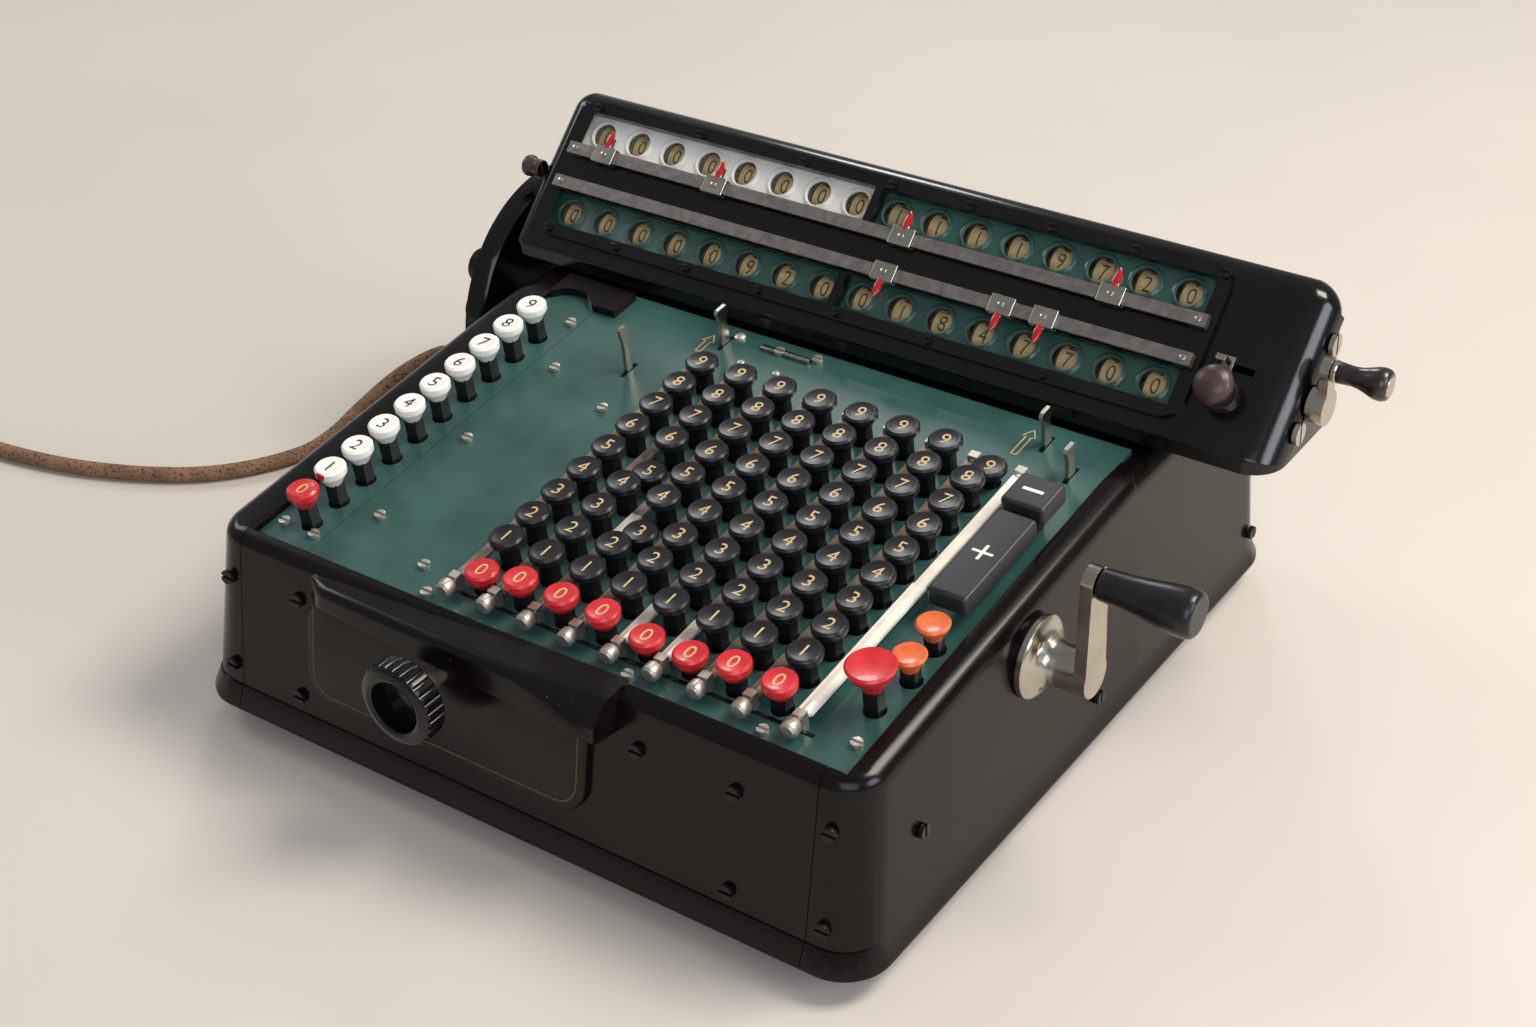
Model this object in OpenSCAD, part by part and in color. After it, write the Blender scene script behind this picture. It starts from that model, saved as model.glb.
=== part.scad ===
// Desk calculating machine with a full keyboard, a sliding dial carriage, a hand crank and a motor.
// Millimetres, +Z up. The feet stand on z = 0 and the origin is the middle of the outline.

/* [Case] */
// Width of the case along its top edge
case_top_w = 255; // [252:0.5:260]
// Width of the case along its bottom edge
case_bottom_w = 264; // [262:0.5:272]
// Depth of the case along its bottom edge
case_d = 268; // [264:1:280]
// Set-back of the front wall between its bottom and its top
front_lean = 10; // [7:0.5:11]
// Set-back of the rear wall between its bottom and its top
rear_lean = 3; // [1:0.5:5]
// Thickness of the case walls
case_wall = 2.2; // [1.8:0.1:2.8]
// Radius of the upright corners
corner_r = 14; // [11:0.5:16]
// Radius of the top edges
edge_r = 6; // [4.5:0.5:7]
// Outward flare of the bottom lip
lip_flare = 2; // [1.5:0.1:3.5]
// Height of the flared bottom lip
lip_h = 8; // [6:0.5:12]
// Distance of the cover seams from the narrower side edges
seam_inset = 14.5; // [13.5:0.5:17.5]
// Width of the gap along every seam
seam_gap = 0.3; // [0.2:0.05:0.5]
// Step from the rear end of the keyboard border down to the deck
deck_drop = 2.5; // [2:0.1:4]
// Thickness of the bottom plate
base_t = 2.5; // [2:0.1:3.5]
// Height of the rubber feet
foot_h = 9; // [7:0.5:12]
// Diameter of the rubber feet
foot_d = 20; // [16:0.5:24]
// Diameter of the case screw heads
screw_d = 4.8; // [4:0.1:6]

/* [Keyboard] */
// Slope of the keyboard in degrees
key_tilt = 6.7; // [6:0.1:7.2]
// Distance between key columns
column_pitch = 16; // [15.8:0.05:16.2]
// Distance between key rows along the slope
row_pitch = 13.1; // [12.9:0.05:13.2]
// Thickness of the top plates
plate_t = 2; // [1.6:0.1:2.4]
// Length of the top plates along the slope
plate_len = 168; // [166:0.5:170]
// Height of the case border above the top plates
border_rise = 1; // [0.6:0.1:1.6]
// Diameter of the number key caps
key_d = 11.4; // [10.8:0.1:11.6]
// Height of the number key tops above the plate
key_top = 12.4; // [12:0.1:13.5]
// Travel of the number keys
key_stroke = 5; // [4:0.1:5.2]
// Diameter of the zero key caps
zero_d = 11; // [10.4:0.1:12.1]
// Height of the zero key tops above the plate
zero_top = 11.6; // [11:0.1:12.5]
// How much lower some of the zero keys stand
zero_drop = 3.2; // [2:0.1:3.4]
// Diameter of the multiplier key caps
mult_d = 10.6; // [10:0.1:12]
// Height of the multiplier key tops above the plate
mult_top = 15.2; // [14.5:0.1:16]
// Diameter of the holes that the key stems pass through
key_hole_d = 7.2; // [7:0.1:8]
// Width of the plus bar
bar_w = 14; // [12.5:0.1:14.5]
// Length of the plus bar
plus_l = 43; // [40:0.5:44]
// Length of the minus bar
minus_l = 15; // [13:0.5:15.5]
// Diameter of the clearing key cap
clear_d = 15.6; // [14:0.1:16]
// Diameter of the repeat key caps
repeat_d = 10.8; // [10:0.1:12]
// Width of the decimal rods
rod_w = 3.8; // [3:0.1:3.9]
// Diameter of the decimal rod knobs
rod_knob_d = 7; // [5.5:0.1:7.4]

/* [Drive] */
// Radius of the crank from shaft to grip
crank_throw = 34; // [28:0.5:38]
// Diameter of the crank shaft
shaft_d = 8; // [7:0.5:9]
// Diameter of the crank hub
hub_d = 14; // [12:0.5:17]
// Diameter of the crank flange
flange_d = 27; // [24:0.5:29]
// Length of the crank grip
grip_l = 31; // [26:0.5:36]
// Largest diameter of the crank grip
grip_d = 15; // [13:0.5:17]
// Pitch radius of the two equal drive gears
gear_r = 12; // [11:0.25:12.5]
// Diameter of the stepped drums
drum_d = 22; // [18:0.5:24]
// Diameter of the front shift knob
knob_d = 28; // [26:0.5:31]
// Thickness of the front shift knob
knob_t = 9; // [8:0.5:11]
// Diameter of the motor bell
bell_d = 106; // [100:1:107]
// Thickness of the motor bell
bell_t = 14; // [11:0.5:16]
// Running clearance of shafts in their bores
run_gap = 0.06; // [0.04:0.01:0.1]

/* [Carriage] */
// Length of the carriage
carriage_l = 308; // [306:1:312]
// Slope of the dial face in degrees
face_slope = 43.9; // [43:0.1:44.5]
// Distance between the two dial rows along the face
dial_row_gap = 32; // [31.5:0.1:32.5]
// Thickness of the carriage shell
shell_t = 2.2; // [1.8:0.1:2.6]
// Radius of the carriage's top edge
top_r = 9; // [8.5:0.1:9.5]
// Height of the bars that the carriage slides on
rail_h = 3; // [2.5:0.1:3.5]
// Radius of the number dials
dial_r = 6.4; // [6:0.1:6.6]
// Width of the number dials
dial_w = 7.5; // [6:0.1:9]
// Height of the dial windows along the face
window_h = 13; // [12:0.1:13.5]
// Diameter of the dial holes in the masks
mask_hole_d = 10.6; // [9.5:0.1:11.5]
// Width of the decimal marker rails
marker_rail_w = 4.5; // [4:0.1:5]
// Diameter of the carriage knob
push_knob_d = 13; // [12:0.1:15]
// Radius of the clearing crank from shaft to grip
clear_throw = 13.5; // [12:0.5:15]
// Length of the clearing crank grip
clear_grip_l = 19; // [16:0.5:22]

/* [Cord] */
// Diameter of the mains cord
cord_d = 6; // [6:0.1:6.1]

/* [Hidden] */
columns = 8;
rows = 9;
rods = 9;
dials = 16;
$fn = 48;
cut = 1;
clear = 0.3;
black = [0.05, 0.05, 0.06];
green = [0.18, 0.35, 0.32];
nickel = [0.75, 0.74, 0.70];
red = [0.75, 0.12, 0.13];
ivory = [0.92, 0.89, 0.80];
brown = [0.30, 0.20, 0.18];

// Top plates: the front edge of their upper face, and their sides
plate_y = 16;
plate_z = 70;
plate_left = 16.5 - case_top_w / 2;
plate_right = case_top_w / 2 - 9;
mult_plate_w = 22;
plate_seam = plate_left + mult_plate_w;
key_margin = 31.5;
first_col_x = plate_right - key_margin - (columns - 1) * column_pitch;
zero_v = 14.5;
mult_x = plate_left + 13.5;
mult_v = 12.5;
bar_x = plate_right - 8.5;
plus_v = 89.3;
minus_v = 120;
bar_t = 7;
clear_pos = [plate_right - 7.7, 26.5];
repeat_pos = [[plate_right - 6, 56.6], [plate_right - 5, 41.9]];
clear_top = 18;
repeat_top = 11;
stem_w = 5.2;
stem_t = 4;
stem_below = 6;
latched = [[1, 5], [2, 3], [7, 9]];
low_zeros = [0, 4, 5];
rod_h = 3.9;
last_rod_shift = 1.2;
last_rod_w = 4.8;
rod_t = 1.1;
rod_pin_r = 1.2;
rod_front_v = 3.5;
rod_end_v = 134;
post_t = 3;
post_w = 3.4;
lever_pos = [[first_col_x - 31, plate_len - 38.5, 18], [first_col_x - 10, plate_len - 10, 15],
    [plate_right - 25.5, plate_len - 10, 14], [plate_right - 10.8, plate_len - 21, 12]];
lever_t = 1.4;
lever_w = 4.6;
lever_pivot_h = -6;
lever_pin_r = 1.2;
lug_t = 2;
left_screws = [[5, 8.7], [18.5, 8.3], [31.5, 26], [30, 72], [31.3, 118], [19, plate_len - 25]];
key_screws = [[-24.8, 106.7], [-24.5, 13.5], [-15, 3.6], [64, 3.6], [112.5, 3.6], [139, 12],
    [11, plate_len - 6.5], [25.5, plate_len - 4.6]];
plate_screws = concat([for (p = left_screws) p + [plate_left, 0]], [for (p = key_screws) p + [first_col_x,
    0]]);

// Case outline
border_tan = tan(key_tilt);
function border_z(y) = plate_z + (y - plate_y) * border_tan + border_rise;
front_ring_y = front_lean + corner_r;
front_ring_z = border_z(front_ring_y) - edge_r;
lean = atan(front_lean / (front_ring_z - foot_h));
block_end = plate_y + plate_len * cos(key_tilt) - cut;
deck_z = border_z(block_end) - deck_drop;
rear_start = block_end - 32;
narrow_w = min(case_top_w, case_bottom_w);
seam_x = narrow_w / 2 - seam_inset;
panel_split_y = 24;
base_inset = case_wall + 0.9;
function top_ring_z(y) = (y < block_end ? border_z(y) : deck_z) - edge_r;
function side_x(y, z) = case_bottom_w / 2
    - (z - foot_h) * (case_bottom_w - case_top_w) / 2 / (top_ring_z(y) - foot_h);
// Outermost place of the side wall behind a round piece of radius r
function outer_x(y, z, r) = max(side_x(y, z - r), side_x(y, z + r));

// Drive axes
crank_y = 103;
crank_z = 62;
hub_x = outer_x(crank_y, crank_z, flange_d / 2) + clear;
flange_t = 3;
hub_l = 13;
arm_t = 4;
arm_end_r = 5;
arm_x = hub_x + flange_t + hub_l;
grip_x = arm_x + arm_t + clear;
pin_r = 2.5;
pin_short = 4;
frame_t = 3;
frame_left = 38.5 - case_top_w / 2;
frame_right = case_top_w / 2 - 29.5;
frame_front = 30;
frame_back = case_d - 18;
gear_teeth = 20;
gear_play = 0.3;
gear_w = 5;
gear_x = frame_right + frame_t + clear;
drum_angle = -41;
drum_gap = 2 * gear_r + gear_play;
drum_y = crank_y + drum_gap * cos(drum_angle);
drum_z = crank_z + drum_gap * sin(drum_angle);
drum_w = 11;
knob_x = -24.6;
knob_z = 55;
knob_face_y = -16;
knob_shaft_d = 6;
knob_shaft_end = 25;
bell_y = 222;
bell_z = bell_d / 2 + 1;

// Shift cover on the front wall, in distances along the leaning wall
cover_left = -81;
cover_right = 33;
cover_low = 17;
cover_high = 54;
cover_t = 2.5;
cover_r = 10;
hood_x = [-77, 42];
hood_left = 5;
hood_right = 11;

// Carriage
slide_gap = 0.3;
floor_z = deck_z + rail_h + slide_gap;
carriage_left = -143;
carriage_right = carriage_left + carriage_l;
bell_gap = 5;
bell_x = carriage_left - bell_gap;
neck_r = 34;
cap_l = 8;
relief_l = 28;
relief_x = bell_x - bell_t;
relief_y = 205;
relief_z = 22;
carriage_gap = 13.5;
face_y = block_end + carriage_gap;
face_z = floor_z + 18;
skin_h = -2;
crease_s = -15;
crease_r = 3;
top_s = 40;
function face_py(s, h) = face_y + s * cos(face_slope) - h * sin(face_slope);
function face_pz(s, h) = face_z + s * sin(face_slope) + h * cos(face_slope);
back_y = face_py(top_s, skin_h - top_r) + top_r - crease_r;
dial_depth = 7;
dial_x = -123;
axle_r = 2;
function dial_axis(s) = [face_py(s, -dial_depth - dial_r), face_pz(s, -dial_depth - dial_r)];
window_left = dial_x - 9;
window_right = dial_x + (dials - 1) * column_pitch + 9;
window_split = -2.5;
split_w = 3;
bezel_left = window_left - 7;
bezel_right = window_right + 5;
mask_h = -5.6;
mask_t = 1;
glass_h = -3.2;
glass_t = 1.2;
rail_s = [9, 22.5];
marker_rail_t = 1.6;
marker_rail_left = window_left + 1;
marker_rail_right = window_right + 3;
marker_x = [[14, 60, 76], [-114, -64, 15, 95]];
bracket_t = 3;
bracket_inset = 12;
base_floor_t = 1.5;
rail_y = [face_y - 3.4, min(face_y + 36.6, case_d - 36)];
rail_w = 5;
rail_l = case_top_w - 15;
clear_y = face_y + 17.6;
clear_z = floor_z + 15;
clear_shaft_r = 3;
clear_hub_r = 6;
clear_arm_t = 3;
clear_arm_x = carriage_right + 3;
clear_pin_r = 1.6;
push_x = bezel_right + 10;
push_s = 2;
push_stem_r = 2.5;
slot_x = push_x + 1.5;
slot_s = 11.5;
slot_l = 12;
slot_w = 2.4;
stop_r = 3;
stop_l = 8;
stop_z = floor_z + 24;
stop_rise = max(0, bell_z + bell_d / 2 + clear + stop_r - stop_z);

// Middle of the outline without the cord
x_min = relief_x - relief_l;
x_max = clear_arm_x + clear_arm_t + clear + clear_grip_l;
y_min = knob_face_y;
y_max = max(case_d + lip_flare, bell_y + bell_d / 2);
mid_x = (x_min + x_max) / 2;
mid_y = (y_min + y_max) / 2;

// Cord route on the table, then a coil of the length left over
cord_r = cord_d / 2;
cord_z = 3.2;
route = [[-190, 205, 22], [-204, 204, 20], [-218, 193, 11], [-222, 173, 4], [-218, 152, cord_z], [-219,
    134, cord_z],
    [-231, 113, cord_z], [-251, 96, cord_z], [-284, 81, cord_z], [-318, 73, cord_z], [-348, 71, cord_z],
        [-374, 71, cord_z]];
coil_x = -380;
coil_y = 32;
coil_r = 39;
coil_step = 7.3;
layer_turns = 2;
layers = 4;
loop_rings = 24;
tail_l = 60;
tail_z = 9.8;
plug_r = 9.2;
plug_l = 34;

module place() translate([-mid_x, -mid_y, 0]) children();
module on_plate(x = 0, v = 0) translate([0, plate_y, plate_z]) rotate([key_tilt, 0, 0])
    translate([x, v, 0]) children();
module on_front(x = 0, v = 0) translate([0, 0, foot_h]) rotate([-lean, 0, 0]) translate([x, 0,
    v]) children();
module on_face(x = 0, s = 0) translate([0, face_y, face_z]) rotate([face_slope, 0, 0])
    translate([x, s, 0]) children();
module along_x(x, y, z) translate([x, y, z]) rotate([0, 90, 0]) children();
module along_y() rotate([-90, 0, 0]) children();

module rounded_rect(w, d, r) {
    translate([r, 0]) square([w - 2 * r, d]);
    translate([0, r]) square([w, d - 2 * r]);
    for (x = [r, w - r], y = [r, d - r]) translate([x, y]) circle(r);
}

// Case: two blended blocks, a flared lip, and the shell between the outside and the inside
module ring(inset) rotate_extrude($fn = 32) translate([corner_r - edge_r, 0]) circle(edge_r - inset,
    $fn = 24);

module block(y_low, y_high, y_end, z_front, z_end, inset, sink) hull() {
    for (s = [-1, 1]) {
        translate([s * (case_top_w / 2 - corner_r), y_high + corner_r, z_front]) ring(inset);
        translate([s * (case_top_w / 2 - corner_r), y_end - corner_r, z_end]) ring(inset);
        for (y = [y_low + corner_r, y_end + rear_lean - corner_r])
            translate([s * (case_bottom_w / 2 - corner_r), y, foot_h - sink])
                cylinder(r = corner_r - inset, h = 0.01, $fn = 32);
    }
}

module case_solid(inset, sink) {
    block(0, front_lean, block_end, front_ring_z, border_z(block_end - corner_r) - edge_r, inset, sink);
    block(rear_start - front_lean, rear_start, case_d - rear_lean, deck_z - edge_r, deck_z - edge_r,
        inset, sink);
}

module lip() hull() {
    translate([-case_bottom_w / 2 - lip_flare, -lip_flare, foot_h]) linear_extrude(1.6)
        rounded_rect(case_bottom_w + 2 * lip_flare, case_d + 2 * lip_flare, corner_r + lip_flare);
    translate([-case_bottom_w / 2 + 1, 1, foot_h + lip_h]) linear_extrude(0.1)
        rounded_rect(case_bottom_w - 2, case_d - 2, corner_r - 1);
}

module shell() difference() {
    union() {
        case_solid(0, 0);
        lip();
    }
    case_solid(case_wall, cut);
    on_plate(plate_left - clear, -clear) translate([0, 0, -5])
        cube([plate_right - plate_left + 2 * clear, plate_len + 2 * clear, 20]);
}

module span(x0, x1, y0, y1) translate([x0, y0, 0]) cube([x1 - x0, y1 - y0, 200]);

module shaft_cut() along_x(0, crank_y, crank_z) cylinder(d = shaft_d + 1, h = 200);

module front_panel() color(black) difference() {
    intersection() {
        shell();
        span(-seam_x + seam_gap, seam_x - seam_gap, -20, panel_split_y - seam_gap);
    }
    translate([knob_x, -20, knob_z]) along_y() cylinder(d = knob_shaft_d + 2 * run_gap, h = 60);
}

module left_cover() color(black) intersection() {
    shell();
    union() {
        span(-200, -seam_x, -20, 300);
        span(-200, 0, panel_split_y, block_end);
    }
}

module right_cover() color(black) difference() {
    union() {
        intersection() {
            shell();
            union() {
                span(seam_x, 200, -20, 300);
                span(0, 200, panel_split_y, block_end);
            }
        }
        crank_boss();
    }
    shaft_cut();
}

module crank_boss() along_x(hub_x - clear - 3, crank_y, crank_z) cylinder(d = flange_d - 1, h = 3);

module rear_cover() color(black) {
    intersection() {
        shell();
        span(-seam_x + seam_gap, seam_x - seam_gap, block_end + seam_gap, 300);
    }
    // Black corner piece that lies on the multiplier plate
    on_plate(0, 0) translate([0, 0, 0.05]) linear_extrude(3) difference() {
        translate([plate_left + 1, plate_len - 15]) square([30, 13]);
        translate([plate_left + 11, plate_len - 21]) circle(11.5);
    }
}

module base_plate() color(black) translate([-case_bottom_w / 2 + base_inset, base_inset,
    foot_h]) linear_extrude(base_t)
    rounded_rect(case_bottom_w - 2 * base_inset, case_d - 2 * base_inset, corner_r - base_inset);

module rubber_feet() color("dimgray")
    for (x = [-1, 1] * (case_bottom_w / 2 - 24), y = [26, case_d - 26])
        translate([x, y, 0]) cylinder(d1 = foot_d - 3, d2 = foot_d, h = foot_h);

module shift_cover() color(black) difference() {
    on_front() {
        translate([cover_left, -0.1, cover_low]) rotate([90, 0, 0]) linear_extrude(cover_t)
            rounded_rect(cover_right - cover_left, cover_high - cover_low, cover_r);
        // Hood that deepens toward its square right end
        intersection() {
            rotate([90, 0, 0]) linear_extrude(hood_right) polygon([[hood_x[0], cover_high - 2],
                [hood_x[1], cover_high - 4],
                [hood_x[1], cover_high + 9], [hood_x[0], cover_high + 6]]);
            linear_extrude(100) polygon([[hood_x[0], -0.1], [hood_x[1], -0.1], [hood_x[1], -hood_right],
                [hood_x[0], -hood_left]]);
        }
    }
    translate([knob_x, -40, knob_z]) along_y() cylinder(d = knob_shaft_d + 1, h = 60);
}

module screw_head(d) difference() {
    cylinder(d = d, h = 1.6);
    translate([-d, -0.5, 0.8]) cube([2 * d, 1, 2]);
}

front_screws = [[50, 47], [85, 47], [85, 13.5], [-87, 49], [-86.5, 14], [-seam_x - 5, 47], [-seam_x - 4,
    15],
    [seam_x + 5, 47], [seam_x + 5.5, 15]];
side_screws = [[37, 41], [142, 22], [case_d - 13, 22]];
module case_screws() color(nickel) {
    for (p = front_screws)
        on_front(p[0], p[1]) rotate([90, 0, 0]) translate([0, 0, 0.15]) screw_head(screw_d);
    for (p = side_screws) along_x(outer_x(p[0], p[1], screw_d / 2) + 0.15, p[0], p[1]) screw_head(screw_d);
    for (p = plate_screws) on_plate(p[0], p[1]) translate([0, 0, 0.05]) screw_head(screw_d - 1);
}

// Top plates
function col_x(c) = first_col_x + c * column_pitch;
function row_v(r) = zero_v + r * row_pitch;
function rod_x(i) = first_col_x + (i - 1.5) * column_pitch + (i == rods ? last_rod_shift : 0);

module hole(d) translate([0, 0, -plate_t - cut]) cylinder(d = d, h = plate_t + 2 * cut);

module keyboard_plate() color(green) difference() {
    on_plate() {
        translate([plate_seam, 0, -plate_t]) cube([plate_right - plate_seam, plate_len, plate_t]);
        for (i = [1:rods], v = [9, rod_end_v + 1]) translate([rod_x(i) - post_w / 2, v, -0.1])
            cube([post_w, post_t, rod_h + 2.2]);
        for (p = lever_pos, s = [-1, 1])
            translate([p[0] + s * (lever_t / 2 + clear + lug_t / 2) - lug_t / 2, p[1] - 3,
                lever_pivot_h - 3])
                cube([lug_t, 6, -lever_pivot_h + 3 - plate_t + 0.1]);
    }
    on_plate() {
        for (c = [0:columns - 1], r = [0:rows]) translate([col_x(c), row_v(r), 0]) hole(key_hole_d);
        for (i = [1:rods]) translate([rod_x(i), 0, rod_h]) along_y()
            cylinder(r = rod_pin_r + run_gap, h = plate_len);
        for (v = [-1, 1] * plus_l / 4) translate([bar_x, plus_v + v, 0]) hole(6);
        translate([bar_x, minus_v, 0]) hole(6);
        translate([clear_pos[0], clear_pos[1], 0]) hole(key_hole_d);
        for (p = repeat_pos) translate([p[0], p[1], 0]) hole(key_hole_d);
        for (p = lever_pos) {
            translate([p[0] - lever_t / 2 - clear, p[1] - 4.5, -plate_t - cut])
                cube([lever_t + 2 * clear, 9, plate_t + 2 * cut]);
            translate([p[0] - 8, p[1], lever_pivot_h]) rotate([0, 90, 0])
                cylinder(r = lever_pin_r + run_gap, h = 16);
        }
    }
}

module multiplier_plate() color(green) on_plate() difference() {
    translate([plate_left, 0, -plate_t]) cube([plate_seam - seam_gap - plate_left, plate_len, plate_t]);
    for (r = [0:rows]) translate([mult_x, mult_v + r * row_pitch, 0]) hole(key_hole_d);
}

// Keys: a turned cap on a flat stem
module cap(d, h, neck) rotate_extrude() polygon([[0, 0], [neck, 0], [d / 2 - 0.8, h * 0.42], [d / 2,
    h * 0.6],
    [d / 2, h - 0.7], [d / 2 - 0.7, h], [d / 2 - 1.6, h - 0.2], [0, h - 0.6]]);

module key(d, top, cap_h, neck) {
    translate([0, 0, top - cap_h]) cap(d, cap_h, neck);
    translate([-stem_w / 2, -stem_t / 2, -plate_t - stem_below])
        cube([stem_w, stem_t, top - cap_h + plate_t + stem_below + 1]);
}

function is_latched(c, r) = len([for (l = latched) if (l[0] == c && l[1] == r) 1]) > 0;
function is_low(c) = len([for (l = low_zeros) if (l == c) 1]) > 0;

module number_key(c, r, drop) on_plate(col_x(c), row_v(r)) translate([0, 0, -drop]) key(key_d, key_top,
    5.8, 2.9);

module number_keys(c) color(black)
    for (r = [1:rows]) if (!is_latched(c, r)) number_key(c, r, 0);

module latched_keys() color(black)
    for (l = latched) number_key(l[0], l[1], key_stroke);

module zero_keys() color(red)
    for (c = [0:columns - 1]) on_plate(col_x(c), row_v(0)) translate([0, 0, is_low(c) ? -zero_drop : 0])
        key(zero_d, zero_top, 7, 2.8);

module multiplier_keys() color(ivory)
    for (r = [0:rows]) on_plate(mult_x, mult_v + r * row_pitch) key(mult_d, mult_top, 7, 2.8);

module bar(w, l, top, stems) {
    hull() for (x = [-1, 1] * (w / 2 - 1.6), y = [-1, 1] * (l / 2 - 1.6), z = [top - bar_t + 1.6,
        top - 1.6])
        translate([x, y, z]) sphere(1.6, $fn = 16);
    for (y = stems) translate([0, y, -plate_t - 3]) cylinder(r = 2.7, h = top + plate_t);
}

module plus_bar() color(black) on_plate(bar_x, plus_v) bar(bar_w, plus_l, 12, [-1, 1] * plus_l / 4);
module minus_bar() color(black) on_plate(bar_x, minus_v) bar(bar_w + 1.5, minus_l, 14, [0]);
module clear_key() color(red) on_plate(clear_pos[0], clear_pos[1]) key(clear_d, clear_top, 9.5, 2.9);
module repeat_keys() color("orangered") for (p = repeat_pos) on_plate(p[0], p[1]) key(repeat_d,
    repeat_top, 6, 2.8);

// Decimal rods that turn between the key columns
module decimal_rod(i) color(i == rods ? ivory : nickel) on_plate(rod_x(i), 0) translate([0, 0, rod_h]) {
    translate([0, rod_front_v, 0]) along_y() rotate_extrude() polygon([[0, 0], [rod_knob_d / 2 - 1, 0],
        [rod_knob_d / 2, 0.8], [rod_knob_d / 2, 3.8], [rod_knob_d / 2 - 0.8, 4.6], [0, 4.6]]);
    translate([0, rod_front_v + 4, 0]) along_y() cylinder(r = rod_pin_r, h = 10);
    translate([-rod_w / 2, 12.4, -rod_t / 2]) cube([rod_w, rod_end_v - 12.4 + 0.6, rod_t]);
    if (i == rods) translate([-last_rod_w / 2, 13, -rod_t / 2]) cube([last_rod_w, 62, rod_t]);
    translate([0, rod_end_v, 0]) along_y() cylinder(r = rod_pin_r, h = 5);
}

// Small setting levers that swing in slots of the keyboard plate
module plate_lever(p) color(nickel) on_plate(p[0], p[1]) {
    translate([-lever_t / 2, 0, 0]) rotate([90, 0, 90]) linear_extrude(lever_t) polygon([
        [-lever_w / 2, lever_pivot_h - 2.2], [lever_w / 2, lever_pivot_h - 2.2], [lever_w / 2, 0],
        [lever_w / 2 - 0.6, p[2] * 0.6], [lever_w / 2 + 1, p[2] - 1], [lever_w / 2, p[2]],
        [-lever_w / 2, p[2]], [-lever_w / 2 - 1, p[2] - 1], [-lever_w / 2 + 0.6, p[2] * 0.6],
            [-lever_w / 2, 0]]);
    translate([-lever_t / 2 - clear - lug_t, 0, lever_pivot_h]) rotate([0, 90, 0])
        cylinder(r = lever_pin_r, h = lever_t + 2 * (clear + lug_t));
}

// Inner frame with the bars that carry the carriage
module inner_frame() color("gray") {
    difference() {
        union() {
            for (x = [frame_left, frame_right]) translate([x, 0, 0]) rotate([90, 0,
                90]) linear_extrude(frame_t)
                polygon([[frame_front, foot_h + base_t], [frame_back, foot_h + base_t],
                    [frame_back, deck_z - case_wall - clear], [block_end - 15.9,
                        deck_z - case_wall - clear],
                    [frame_front, border_z(frame_front) - border_rise - plate_t - 0.6]]);
            for (y = [frame_front + 30, frame_back - 25]) along_x(frame_left + 1, y, 25) cylinder(r = 5,
                h = frame_right - frame_left);
        }
        along_x(-150, crank_y, crank_z) cylinder(d = shaft_d + 2 * run_gap, h = 300);
        along_x(-150, drum_y, drum_z) cylinder(d = shaft_d + 2 * run_gap, h = 300);
    }
    for (y = rail_y) translate([-rail_l / 2, y, deck_z]) cube([rail_l, rail_w, rail_h]);
}

module gear() {
    cylinder(r = gear_r - 1.6, h = gear_w);
    for (i = [0:gear_teeth - 1]) rotate([0, 0, i * 360 / gear_teeth]) linear_extrude(gear_w)
        polygon([[gear_r - 2, -0.95], [gear_r, -0.7], [gear_r + 1.1, -0.4], [gear_r + 1.1, 0.4],
            [gear_r, 0.7], [gear_r - 2, 0.95]]);
}

// A tooth of this gear points at the drum shaft
module main_shaft() color(nickel) {
    along_x(frame_left - 4, crank_y, crank_z) cylinder(d = shaft_d, h = arm_x - frame_left + 4);
    along_x(gear_x, crank_y, crank_z) rotate([0, 0, 90 + drum_angle]) gear();
}

// Stepped drums, one under each key column, and their gear with a gap at the crank shaft
module stepped_drums() color(nickel) {
    along_x(frame_left - 4, drum_y, drum_z) cylinder(d = shaft_d, h = gear_x + gear_w - frame_left + 6);
    along_x(gear_x, drum_y, drum_z) rotate([0, 0, 90 + drum_angle + 180 + 180 / gear_teeth]) gear();
    for (c = [0:columns - 1]) along_x(col_x(c) - drum_w / 2, drum_y, drum_z) {
        cylinder(d = drum_d, h = drum_w);
        for (k = [1:rows]) rotate([0, 0, k * 24]) translate([drum_d / 2 - 1, -0.8, 0])
            cube([2.6, 1.6, drum_w * k / (rows + 1)]);
    }
}

// Hand crank on the right, drawn with its grip up
module main_crank() color(nickel) difference() {
    along_x(hub_x, crank_y, crank_z) {
        rotate_extrude() polygon([[0, 0], [flange_d / 2, 0], [flange_d / 2, flange_t - 1.2],
            [flange_d / 2 - 1, flange_t - 0.4], [hub_d / 2 + 2.6, flange_t + 1], [hub_d / 2 + 0.7,
                flange_t + 3.5],
            [hub_d / 2, flange_t + 7], [hub_d / 2, flange_t + hub_l + 0.1], [0, flange_t + hub_l + 0.1]]);
        translate([0, 0, flange_t + hub_l]) linear_extrude(arm_t) {
            circle(hub_d / 2);
            translate([-crank_throw, 0]) circle(arm_end_r);
            polygon([[-crank_throw, -arm_end_r], [-crank_throw, arm_end_r], [0, hub_d / 2 - 0.6], [0,
                0.6 - hub_d / 2]]);
        }
        translate([-crank_throw, 0, flange_t + hub_l + 0.5]) cylinder(r = pin_r,
            h = arm_t + grip_l - pin_short);
    }
    along_x(hub_x - cut, crank_y, crank_z) cylinder(d = shaft_d + run_gap, h = flange_t + hub_l + cut);
}

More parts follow.
